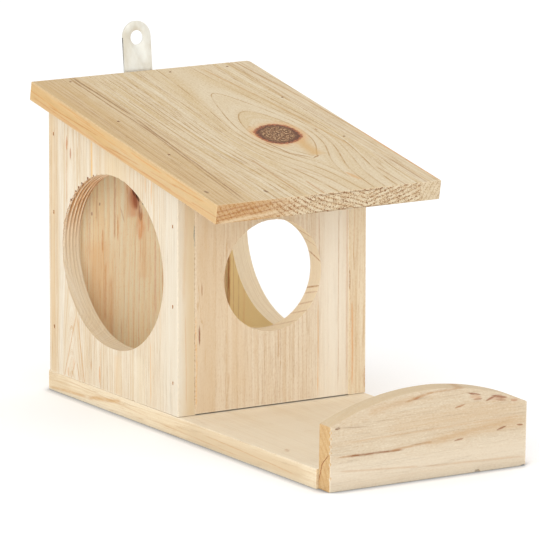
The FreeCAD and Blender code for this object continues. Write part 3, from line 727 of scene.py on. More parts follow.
def nail_heads(node, outward):
    """The middle of each nail head in a CAD node, in millimetres: its outermost corners' average."""
    outward = Vector(outward)
    groups = []
    for vertex in nodes[node].data.vertices:
        spot = vertex.co / MM
        flat = spot - outward * spot.dot(outward)
        for group in groups:
            if (flat - group[0]).length < NAIL_APART:
                group[1].append(spot)
                break
        else:
            groups.append((flat, [spot]))
    heads = []
    for _, spots in groups:
        top = max(spot.dot(outward) for spot in spots)
        crown = [spot for spot in spots if top - spot.dot(outward) < 0.05]
        heads.append(sum(crown, Vector()) / len(crown))
    return heads


def dents(node, outward, broad, size=(1.7, 0.9), finish=None):
    """Cutters for the dents over a node's nails. broad is the direction of the head's long side.

    The cutter is a rounded block that reaches down to the head. Its outer end is spread and rippled,
    as the wood is where a punch went in.
    """
    outward, broad = Vector(outward), Vector(broad)
    turn = frame_of(broad, outward.cross(broad), outward)
    made = []
    for head in nail_heads(node, outward):
        cutter = start(bpy.ops.mesh.primitive_cube_add, size=1)
        cutter.scale = Vector((*size, DENT_DEEP)) * MM
        settle(cutter)
        ease(cutter, 0.22)
        for vertex in cutter.data.vertices:
            ripple = 1.0 + 0.5 * noise.noise(vertex.co * 900 + head)
            vertex.co.x *= ripple * (1.25 if vertex.co.z > 0 else 1.0)
            vertex.co.y *= ripple * (1.35 if vertex.co.z > 0 else 1.0)
        centre = head + outward * (DENT_DEEP / 2 - 0.12)
        cutter.data.transform(Matrix.Translation(centre * MM) @ turn)
        dress(cutter, finish or DENT)
        made.append(cutter)
    return made


def bore(name, centre, radius, turn, finish, sides, rings, rough):
    """A cutter for a sawn hole. Its own Z runs through the board, outwards."""
    cutter = start(bpy.ops.mesh.primitive_cylinder_add, vertices=sides, radius=1, depth=1,
                   end_fill_type="NGON")
    select_edges(cutter, lambda first, second: abs(first.z - second.z) > 0.5 / MM)
    with edit_mode():
        bpy.ops.mesh.subdivide(number_cuts=rings)
    wide, high = radius
    for vertex in cutter.data.vertices:
        angle = math.atan2(vertex.co.y, vertex.co.x)
        flat = Vector((math.cos(angle) * wide, math.sin(angle) * high, vertex.co.z * CUT_THROUGH))
        grow = rough(angle, Vector(centre) + turn.to_3x3() @ flat)
        vertex.co = (flat + Vector((math.cos(angle), math.sin(angle), 0)) * grow) * MM
    cutter.data.transform(Matrix.Translation(Vector(centre) * MM) @ turn)
    take(cutter)
    with edit_mode():
        bpy.ops.mesh.select_all(action="SELECT")
        bpy.ops.mesh.quads_convert_to_tris()
    cutter.name = name
    dress(cutter, finish)
    return cutter


def box_mm(node):
    """A CAD node's lowest and highest corner in millimetres."""
    low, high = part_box(node)
    return low / MM, high / MM


def hand_over(board, node):
    """The finished board stands for its CAD node and rides with the feeder.

    A boolean cut can swallow a board without an error, so its size is looked at first.
    """
    low, high = box_mm(node)
    spots = [vertex.co / MM for vertex in board.data.vertices]
    for index in range(3):
        ends = [spot[index] for spot in spots] or [0.0]
        if abs(min(ends) - low[index]) > 1 or abs(max(ends) - high[index]) > 1:
            raise ValueError(f"{board.name} was lost in a cut")
    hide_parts(node)
    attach(board, "root")
    print(f"{board.name}: {len(board.data.polygons)} faces")


print("bench tools ready")

# %% [markdown]
# ## Base board
# One board under everything, with its grain from rear to front. Its rear corners are rounded by the
# sander and its front end is sawn to the lean of the end board. A cube would do for the shape alone,
# but the eased corners catch the light all round, so it is sawn and eased like the real one.

# %% Base board
low, high = box_mm("base_board")
BASE_TOP = high.z
BASE_FRONT = -high.y
BASE_START = -130.0
BASE_WOOD = softwood("base_wood", {
    "axes": lambda x, y, z: (x, y - BASE_START, BASE_TOP - z), "grain": (0, 1, 0), "seed": 3.1,
    "box": ((low.x, high.x), (low.y - BASE_START, high.y - BASE_START), (0, BASE_TOP)),
    "heart": (-14.0, 46.0), "ring": 2.6, "lean": 0.02, "contrast": 0.2, "ply": 0.35, "streak": 0.3,
    # Painted light: faces that look up, the shelf's top most of all, are lightened towards pale cream.
    "lines_depth": 0.35, "facing_painted_light": ((0, 0, 1), tint(244, 234, 214), 0.75),
    "pale": tint(232, 215, 184), "deep": tint(219, 194, 155), "line": tint(202, 164, 116),
    "light": tint(238, 224, 198), "end_pale": tint(234, 214, 178), "end_deep": tint(220, 192, 150),
    "pores": 0.12, "grit": 0.14,
    "marks": [(43.0, -44.6, 50.0, -41.6, 2.4, 0.6, (176, 124, 74))],
    "side_marks": [(180.0, 2.4, 214.0, 6.4, 1.6, 0.8, (206, 164, 112)),
                   (212.0, 6.2, 251.0, 7.9, 1.3, 0.7, (210, 170, 120)),
                   (150.0, 5.2, 240.0, 1.6, 0.5, 0.4, (200, 158, 108)),
                   # Painted shade: the broad band below darkens the front part of the base's side, where
                   # the light falls off.
                   (10.0, 4.4, 130.0, 5.4, 8.5, 0.8, (212, 189, 154)),
                   (226.0, 4.0, 290.0, 5.0, 8.5, 0.3, (208, 180, 138)),
                   (20.0, 6.2, 110.0, 3.4, 0.5, 0.5, (196, 150, 100)),
                   (70.0, 7.6, 150.0, 5.6, 0.5, 0.45, (200, 156, 106))]})
base = blank("base", low, high)
saw(base, (0, BASE_FRONT, 0), (0, -math.cos(LEAN), -math.sin(LEAN)))
ease(base, 1.5, 5, lambda first, second:
     min(first.y, second.y) > high.y - 0.1 and abs(first.z - second.z) > BASE_TOP / 2)
ease_sharp(base, 0.3)
dress(base, BASE_WOOD)
base_cuts = [nick((low.x, 34.0, BASE_TOP), (0.35, 2.4, 0.3), 0.6, BASE_WOOD),
             nick((low.x, -71.0, 0.0), (0.4, 3.0, 0.35), 0.2, BASE_WOOD),
             nick((low.x, 96.0, 0.0), (0.5, 1.6, 0.4), 0.2, BASE_WOOD),
             nick((high.x, -40.0, BASE_TOP), (0.4, 2.8, 0.3), 0.4, BASE_WOOD)]
for row in ("base_left_nails", "base_middle_nails", "base_right_nails"):
    base_cuts += dents(row, (0, 0, -1), (1, 0, 0))
cut_away(base, base_cuts)
hand_over(base, "base_board")

# %% [markdown]
# ## Side panels
# Upright grain, a top sawn to the roof's slope, a sole a hair out of square and an oval hole. The
# hole was cut with a coarse blade: near the top rear its wall stands in ridges, and the fibres are
# torn at the rim. So the cutter itself is ridged and ragged, and the cut copies it.

# %% Side panels
def saw_marks(look, toward, strength, torn):
    """How far a hole's wall strays from true, by the angle round it and the place on the board.

    toward is the angle at which the blade chattered most, strength the height of its ridges in mm,
    and torn how deep the fibres are torn out at the rim.
    """
    seed = look["seed"]

    def stray(angle, spot):
        a, l, t = look["axes"](*spot)
        apart = math.atan2(math.sin(angle - toward), math.cos(angle - toward))
        zone = math.exp(-(apart / 0.7) ** 2)
        ridge = abs((saw_phase(a, l, t) % 1.0) * 2.0 - 1.0) ** 0.7 - 0.5
        chatter = noise.noise(Vector((a * 0.06, l * 0.06, t * 1.5 + seed)))
        rim = math.exp(-(t / 0.7) ** 2)
        bite = max(0.0, noise.noise(Vector((angle * 26.0, t * 0.4, seed + 9.0))) - 0.1)
        return zone * strength * ridge + 0.10 * chatter + rim * bite * (torn * zone + 0.2)
    return stray


def splinters(rim, wood):
    """Torn fibres that still hang from the left hole's rim: thin cones along the grain, as one mesh."""
    made = []
    for y, z, tall, lean in rim:
        depth = 0.55 + 0.25 * noise.noise(Vector((y, z, 2.0)))
        fibre = start(bpy.ops.mesh.primitive_cone_add, vertices=6, radius1=0.3 * MM,
                      radius2=0.03 * MM, depth=(tall + 1.4) * MM)
        fibre.rotation_euler = (math.pi + lean, 0, 0)
        fibre.location = Vector((-BOX_HALF + depth, y, z + 0.7 - tall / 2)) * MM
        settle(fibre)
        made.append(fibre)
    take(*made)
    bpy.ops.object.join()
    dress(bpy.context.object, wood)
    return bpy.context.object


SIDE_HOLE_UP = 62.7
SIDE_HOLE = (47.0, 41.3)
SIDE_SOLE_RISE = 0.25


def side_panel(name, node, outward, look, rows, rough, cuts, chips=(), torn_fibres=()):
    """One side panel. outward is -1 for the left and 1 for the right."""
    low, high = box_mm(node)
    look["box"] = ((low.y, high.y), (low.z, high.z + 30), (0, high.x - low.x))
    look["grain"] = (0, 0, 1)
    wood = softwood(f"{name}_wood", look)
    wall = softwood(f"{name}_hole_wall", look, look["sawn"])
    panel = blank(name, low, high)
    saw(panel, (0, high.y, high.z), (0, -math.sin(SLOPE), math.cos(SLOPE)))
    saw(panel, (0, high.y, low.z), (0, -SIDE_SOLE_RISE, -BOX_DEPTH))
    ease(panel, 0.28, 2, lambda first, second:
         min(first.z, second.z) > BASE_TOP + 1 or abs(first.z - second.z) > 9)
    dress(panel, wood)
    middle = (low + high) / 2
    turn = frame_of((0, outward, 0), (0, 0, 1), (outward, 0, 0))
    tools = [bore(f"{name}_hole", (middle.x, middle.y, BASE_TOP + SIDE_HOLE_UP), SIDE_HOLE, turn,
                  wall, 400, 31, rough)]
    for row in rows:
        tools += dents(row, (outward, 0, 0), (0, 0, 1))
    for centre, size in cuts:
        tools.append(nick(centre, size, 0.3, wood))
    cut_away(panel, tools)
    if chips:
        cut_away(panel, [nick((outward * BOX_HALF, y, z), (0.45, wide, tall), 0.3, DARK_DENT)
                         for y, z, wide, tall in chips])
    if torn_fibres:
        fibres = splinters(torn_fibres, wood)
        work(panel, "BOOLEAN", object=fibres, operation="UNION", solver="EXACT")
        bpy.data.objects.remove(fibres)
    hand_over(panel, node)


LEFT = {
    "axes": lambda x, y, z: (y, z, x + BOX_HALF), "seed": 5.2, "heart": (98.0, -8.0), "ring": 1.7,
    "contrast": 0.3, "ply": 0.9, "lift": 0.7, "streak": 0.7, "middle": 60.0, "sway": 1.6,
    "lines_depth": 0.6,
    "pale": tint(223, 210, 187), "deep": tint(215, 193, 160), "line": tint(202, 167, 121), "grit": 0.08,
    "light": tint(229, 219, 201), "end_pale": tint(226, 198, 150), "end_deep": tint(196, 154, 100),
    "swellings": [(98.0, -14.0, 10.0, 14.0, 40.0)],
    "marks": [(-60.0, 0.0, 190.0, 1.0, 26.0, 0.75, (224, 214, 195)),
              (-60.0, 115.6, 200.0, 115.8, 5.0, 0.6, (216, 188, 146)),
              (-30.0, 107.9, 170.0, 107.4, 3.2, 0.5, (230, 222, 206)),
              (4.0, 111.9, 138.0, 111.6, 0.5, 0.55, (204, 164, 116)),
              (4.0, 117.0, 138.0, 116.8, 0.5, 0.5, (202, 160, 110)),
              (4.0, 114.2, 138.0, 113.8, 0.5, 0.5, (206, 166, 118)),
              (94.0, 57.0, 140.0, 56.0, 19.0, 0.65, (225, 203, 164)),
              (102.0, 84.0, 140.0, 84.0, 4.0, 0.5, (229, 217, 194)),
              (6.0, 35.0, 34.0, 34.0, 9.0, 0.55, (228, 213, 185)),
              (6.0, 55.0, 30.0, 55.0, 6.0, 0.4, (226, 202, 166)),
              (6.0, 85.6, 42.0, 92.6, 0.8, 0.85, (204, 158, 106)),
              (6.0, 106.4, 42.0, 93.2, 0.8, 0.8, (206, 162, 112)),
              (6.0, 90.0, 20.0, 93.3, 0.7, 0.85, (200, 152, 102)),
              (6.0, 100.2, 20.0, 93.9, 0.7, 0.8, (200, 152, 102)),
              (6.0, 87.6, 32.0, 92.9, 0.45, 0.45, (208, 168, 122)),
              (6.0, 103.0, 32.0, 93.5, 0.45, 0.4, (208, 168, 122)),
              (9.0, 101.5, 15.0, 101.4, 1.8, 0.5, (212, 164, 116)),
              (13.0, 96.3, 20.5, 95.9, 1.5, 0.4, (218, 170, 124)),
              (9.6, 23.8, 42.0, 23.8, 0.7, 0.6, (226, 178, 118)),
              (16.0, 79.6, 22.0, 79.7, 0.9, 0.6, (206, 148, 98)),
              (34.0, 15.0, 110.0, 15.4, 0.6, 0.35, (222, 190, 142)),
              (8.0, 55.4, 30.0, 55.2, 1.0, 0.4, (214, 176, 124)),
              (10.5, 71.4, 21.5, 71.5, 1.1, 0.8, (210, 146, 84)),
              (9.0, 71.0, 30.0, 70.4, 0.7, 0.4, AMBER),
              (118.0, 101.9, 127.0, 101.8, 1.4, 0.85, (190, 120, 68)),
              (92.0, 102.2, 124.0, 102.4, 0.7, 0.6, (206, 150, 96)),
              (114.5, 98.3, 121.5, 98.3, 1.2, 0.85, (176, 108, 66)),
              (108.0, 78.0, 128.0, 78.6, 1.5, 0.7, (234, 186, 112)),
              (103.0, 23.0, 122.0, 22.4, 1.1, 0.6, AMBER), (108.0, 28.2, 122.0, 28.6, 0.9, 0.6, AMBER)],
    "side_marks": [(-60.0, 7.6, 200.0, 7.6, 7.4, 0.85, (212, 188, 150)),
                   (87.0, 8.9, 101.0, 8.9, 0.8, 0.9, (96, 108, 108)),
                   (10.0, 9.0, 50.0, 9.1, 0.5, 0.8, (150, 104, 64)),
                   (40.0, 9.1, 90.0, 9.0, 0.4, 0.55, (150, 112, 78)),
                   (96.0, 9.1, 128.0, 9.0, 0.4, 0.4, (176, 132, 88)),
                   (12.0, 4.6, 60.0, 4.0, 0.5, 0.4, (206, 160, 110)),
                   (60.0, 3.0, 120.0, 5.0, 1.6, 0.3, (206, 166, 118))],
    "sawn": {"rough_at": (92.0, 103.0, 23.0), "strength": 0.3, "chatter": 0.9, "painted_light_lift": 0.4,
             "singed": 0.75}}
side_panel(
    "left_side", "left_side_panel", -1, LEFT, ("left_front_nails", "left_rear_nails"),
    saw_marks(LEFT, math.radians(180 - 48), 0.75, 2.6),
    [((-BOX_HALF, 40.0, BASE_TOP), (0.4, 2.2, 0.35)), ((-BOX_HALF, 87.0, BASE_TOP), (0.35, 1.5, 0.4)),
     ((-BOX_HALF, BOX_FRONT, 40.0), (0.3, 0.35, 1.8)), ((-BOX_HALF, BOX_REAR, 92.0), (0.3, 0.35, 2.2))],
    [(76.6, 110.6, 0.5, 0.6), (82.2, 108.6, 0.5, 0.9), (87.6, 105.4, 0.6, 0.6), (90.9, 102.9, 0.4, 0.8),
     (93.4, 100.6, 0.6, 0.6), (98.2, 95.6, 0.5, 0.9)],
    [(79.4, 109.7, 1.1, 0.2), (84.8, 106.9, 1.6, 0.1), (86.3, 105.8, 1.0, -0.2), (89.2, 103.9, 2.0, 0.25),
     (92.3, 101.2, 1.4, -0.1), (95.0, 98.6, 2.2, 0.15), (96.4, 97.0, 1.2, 0.3), (100.2, 91.9, 1.6, 0.1),
     (102.2, 88.3, 1.0, 0.2)])

RIGHT = {
    "axes": lambda x, y, z: (y, z, BOX_HALF - x), "seed": 8.7, "heart": (40.0, -26.0), "ring": 2.5,
    "contrast": 0.3, "sway": 2.6,
    "pale": tint(224, 205, 174), "deep": tint(212, 185, 147), "line": tint(196, 154, 106),
    "light": tint(230, 216, 190), "end_pale": tint(226, 198, 150), "end_deep": tint(196, 154, 100),
    "swellings": [(34.0, 30.0, 9.0, 14.0, 44.0)],
    "marks": [(8.0, 3.6, 128.0, 4.4, 3.2, 0.75, (206, 156, 96)),
              (9.0, 108.0, 130.0, 106.0, 1.4, 0.5, AMBER),
              (22.0, 108.6, 64.0, 108.0, 2.2, 0.85, (156, 84, 40)),
              (20.0, 103.6, 116.0, 103.0, 0.8, 0.4, (206, 150, 96)),
              (20.0, 98.8, 90.0, 98.4, 0.6, 0.4, (196, 142, 88)),
              (20.0, 94.0, 80.0, 93.4, 1.6, 0.25, (232, 176, 114))],
    "side_marks": [(12.0, 7.3, 56.0, 7.6, 0.9, 0.65, (214, 152, 92)),
                   (58.0, 9.0, 72.0, 9.1, 0.8, 0.8, (150, 92, 56)),
                   (10.0, 0.6, 24.0, 0.6, 0.9, 0.6, (180, 126, 80)),
                   (70.0, 6.8, 126.0, 6.2, 0.5, 0.5, (206, 160, 112))],
    # Painted light: the far face, the one inside the box, is lifted towards a warm cream against the
    # shade there.
    "far_face_painted_light": (tint(255, 234, 180), 0.95, "MIX"),
    "sawn": {"rough_at": (28.0, 104.0, 22.0), "strength": 0.25, "chatter": 0.6, "painted_light_lift": 0.9}}
side_panel(
    "right_side", "right_side_panel", 1, RIGHT, ("right_front_nails", "right_rear_nails"),
    saw_marks(RIGHT, math.radians(52), 0.35, 1.2),
    [((BOX_HALF, 60.0, BASE_TOP), (0.4, 2.2, 0.35)), ((BOX_HALF, BOX_FRONT, 70.0), (0.3, 0.35, 2.0))])

# %% [markdown]
# ## Front and back panels
# Both stand between the sides. The front has the small round hole that looks on to the shelf, cut
# more cleanly than the side holes. The back is plain inside, with one red-brown knot that the large
# hole shows.

# %% Front and back panels
FRONT_HOLE_UP = 61.8
FRONT_HOLE = (26.35, 26.35)
CROSS_SOLE_RISE = 0.6
BACK_FACE = 109.95


def cross_panel(name, node, wood, tools=()):
    """A wall between the side panels, its top sawn to the slope and its sole following the sides."""
    low, high = box_mm(node)
    panel = blank(name, low, high)
    saw(panel, (0, high.y, high.z), (0, -math.sin(SLOPE), math.cos(SLOPE)))
    saw(panel, (0, BOX_REAR, BASE_TOP), (0, -CROSS_SOLE_RISE, -BOX_DEPTH))
    ease(panel, 0.2)
    dress(panel, wood)
    if tools:
        cut_away(panel, tools)
    hand_over(panel, node)


low, high = box_mm("front_panel")
FRONT = {
    "axes": lambda x, y, z: (x, z, y - BOX_FRONT), "grain": (0, 0, 1), "seed": 11.3,
    "box": ((low.x, high.x), (low.z, high.z + 20), (0, BOARD)),
    "heart": (-44.0, 60.0), "ring": 1.7, "sway": 1.2, "contrast": 0.35, "lines_depth": 0.45,
    "pale": tint(224, 208, 184), "deep": tint(214, 191, 159), "line": tint(196, 159, 117), "grit": 0.26,
    "light": tint(229, 215, 193), "end_pale": tint(226, 198, 150), "end_deep": tint(196, 154, 100),
    # Painted light, in part: the first broad cream band, a pale stripe of the board, is also cooled
    # against the warm light that the base throws up.
    "marks": [(-60.0, 33.0, 190.0, 33.6, 16.0, 0.85, (236, 226, 208)),
              (-30.0, -37.0, 160.0, -36.0, 12.0, 0.6, (208, 180, 142)),
              # Painted light: this pale band at the top takes out the shadow of the roof.
              (100.0, 34.0, 170.0, 34.0, 17.0, 0.6, (246, 237, 221)),
              (9.0, 40.8, 122.0, 40.9, 0.9, 0.4, (206, 158, 110)),
              (9.0, 36.0, 104.0, 36.1, 0.4, 0.6, (188, 142, 98)),
              (9.0, -20.0, 128.0, -20.0, 13.0, 0.4, (218, 193, 158)),
              (9.0, 24.9, 60.0, 24.9, 0.6, 0.6, AMBER),
              (62.0, 25.4, 100.0, 25.2, 0.6, 0.5, (190, 140, 90)),
              (30.0, 3.0, 50.0, 3.0, 0.6, 0.5, (196, 150, 100)),
              (41.0, -39.6, 53.0, -39.5, 0.8, 0.9, (136, 76, 46)),
              (64.0, -38.2, 73.0, -38.5, 0.55, 0.75, (160, 104, 66)),
              (9.0, -41.4, 60.0, -41.4, 0.9, 0.6, AMBER)],
    "sawn": {"rough_at": (-10.0, 96.0, 10.0), "strength": 0.12, "chatter": 0.2, "painted_light_lift": 0.8,
             "arcs": [(85.5, -4.0, 91.5, 13.0, 1.8, 0.7), (81.0, -3.5, 86.8, 13.0, 1.2, 0.6),
                      (73.4, -3.5, 80.6, 13.0, 2.0, 0.9), (60.2, 13.0, 64.4, -3.0, 3.0, 0.85),
                      (57.6, 13.0, 61.8, -3.0, 2.6, 0.5), (52.4, 13.0, 57.6, -3.0, 2.2, 0.5),
                      (48.5, 13.0, 53.6, -3.0, 2.0, 0.5), (43.5, 13.0, 49.6, -3.0, 1.8, 0.4)]}}
FRONT_WOOD = softwood("front_panel_wood", FRONT)
front_wall = softwood("front_hole_wall", FRONT, FRONT["sawn"])
front_bore = bore("front_hole", (0, (low.y + high.y) / 2, BASE_TOP + FRONT_HOLE_UP), FRONT_HOLE,
                  frame_of((1, 0, 0), (0, 0, 1), (0, -1, 0)), front_wall, 240, 15,
                  saw_marks(FRONT, math.radians(110), 0.05, 0.3))
cross_panel("front", "front_panel", FRONT_WOOD, [front_bore])

low, high = box_mm("back_panel")
BACK_WOOD = softwood("back_panel_wood", {
    "axes": lambda x, y, z: (x, z, y - BACK_FACE), "grain": (0, 0, 1), "seed": 14.9,
    "box": ((low.x, high.x), (low.z, high.z), (0, BOARD)),
    "heart": (-110.0, 40.0), "ring": 2.6, "contrast": 0.25, "ply": 0.45, "lift": 0.3, "sway": 2.4,
    "cloud": 0.3, "streak": 0.35,
    # Painted light: the back's colours are lifted well above the other boards', so its inner face, in the
    # box's shade, shows bright.
    "pale": tint(255, 241, 208), "deep": tint(253, 217, 164), "line": tint(238, 184, 122),
    "light": tint(255, 246, 224), "end_pale": tint(226, 198, 150), "end_deep": tint(196, 154, 100),
    # The far face, the outer one at the rear, is multiplied back down from that painted lift.
    "swellings": [(-8.0, 90.0, 3.0, 7.0, 16.0)], "far_face_painted_light": (tint(226, 220, 218), 1.0, "MULTIPLY"),
    "marks": [(70.0, -20.6, 106.0, -20.2, 0.8, 0.6, (208, 140, 84)),
              (69.0, -18.9, 85.0, -18.8, 0.8, 0.7, (222, 150, 84)),
              (64.0, -27.4, 79.0, -27.2, 0.8, 0.75, (222, 146, 82)),
              (30.0, -25.9, 63.0, -25.6, 1.2, 0.55, (226, 158, 96)),
              (30.0, 2.0, 71.0, 2.0, 0.9, 0.5, (234, 170, 116)),
              (72.0, -1.9, 84.0, -1.9, 0.9, 0.5, (232, 166, 112)),
              (10.0, -22.0, 56.0, -22.6, 2.6, 0.45, (228, 172, 118)),
              (92.0, -13.5, 99.0, -13.4, 0.8, 0.6, (204, 140, 96)),
              (60.0, -34.6, 112.0, -34.0, 1.0, 0.5, (226, 170, 116)),
              (80.0, -30.4, 108.0, -30.0, 0.7, 0.5, (214, 156, 104)),
              (10.0, -31.0, 76.0, -30.0, 13.0, 0.36, (240, 180, 112)),
              (48.0, -4.6, 86.0, -5.4, 4.6, 0.34, (242, 184, 122)),
              (68.0, -6.6, 86.0, -6.2, 3.4, 0.6, (236, 152, 84)),
              (80.0, -9.8, 101.0, -11.0, 5.8, 0.55, (228, 156, 110)),
              (83.0, -8.8, 99.0, -10.2, 5.0, 0.75, (192, 108, 70)),
              (84.0, -8.2, 97.0, -9.6, 3.2, 0.62, (144, 68, 44)),
              (78.0, -6.0, 88.0, -6.8, 1.8, 0.7, (158, 80, 50)),
              (88.0, -6.8, 94.6, -9.4, 1.1, 0.95, (46, 22, 18)),
              (91.0, -9.4, 96.0, -10.8, 0.8, 0.9, (60, 30, 24)),
              (86.4, -4.6, 89.6, -5.4, 0.8, 0.9, (70, 34, 26)),
              (40.0, 6.0, 100.0, 6.4, 0.8, 0.4, (232, 176, 124)),
              (84.0, -33.0, 86.5, -33.0, 0.7, 0.8, (180, 104, 66)),
              (88.5, -28.8, 90.5, -28.6, 0.6, 0.7, (170, 100, 66)),
              (78.0, -14.8, 88.0, -17.6, 0.6, 0.5, (206, 150, 112))]})
cross_panel("back", "back_panel", BACK_WOOD)

# %% [markdown]
# ## Roof
# Two staves glued edge to edge, with the grain down the slope. The wide one carries the knot, and
# its growth lines swell out round it in pointed loops. The blank is squared flat, tilted to the slope
# and set on the walls. Its marks are given in the board's own measures: millimetres across, and
# millimetres down the slope from the rear edge.

# %% Roof
ROOF_LENGTH = 174.0
ROOF_LEFT = -59.45
low, high = box_mm("roof_board")
ROOF_REAR = high.y - BOARD * math.sin(SLOPE)
ROOF_TOP = high.z
DOWN_SLOPE = Vector((0, -math.cos(SLOPE), -math.sin(SLOPE)))
INTO_ROOF = Vector((0, math.sin(SLOPE), -math.cos(SLOPE)))


def roof_axes(x, y, z):
    """Across the roof, down its slope and into its thickness, in millimetres."""
    down = (y - ROOF_REAR) * DOWN_SLOPE.y + (z - ROOF_TOP) * DOWN_SLOPE.z
    into = (y - ROOF_REAR) * INTO_ROOF.y + (z - ROOF_TOP) * INTO_ROOF.z
    return x, down, into


def roof_stave(name, left, right, glued):
    """One stave: a flat blank with its rear top edge at the origin, tilted and set in place.

    glued is the side that meets the other stave. The right stave's free rear corner is well rounded.
    """
    stave = blank(name, (left, -ROOF_LENGTH, -BOARD), (right, 0, 0))
    if left == glued:
        ease(stave, 2.2, 5, lambda first, second:
             min(first.x, second.x) > right - 0.1 and min(first.y, second.y) > -0.1)
    ease_sharp(stave, 0.38)
    stave.rotation_euler.x = SLOPE
    stave.location = Vector((0, ROOF_REAR, ROOF_TOP)) * MM
    settle(stave)
    return stave


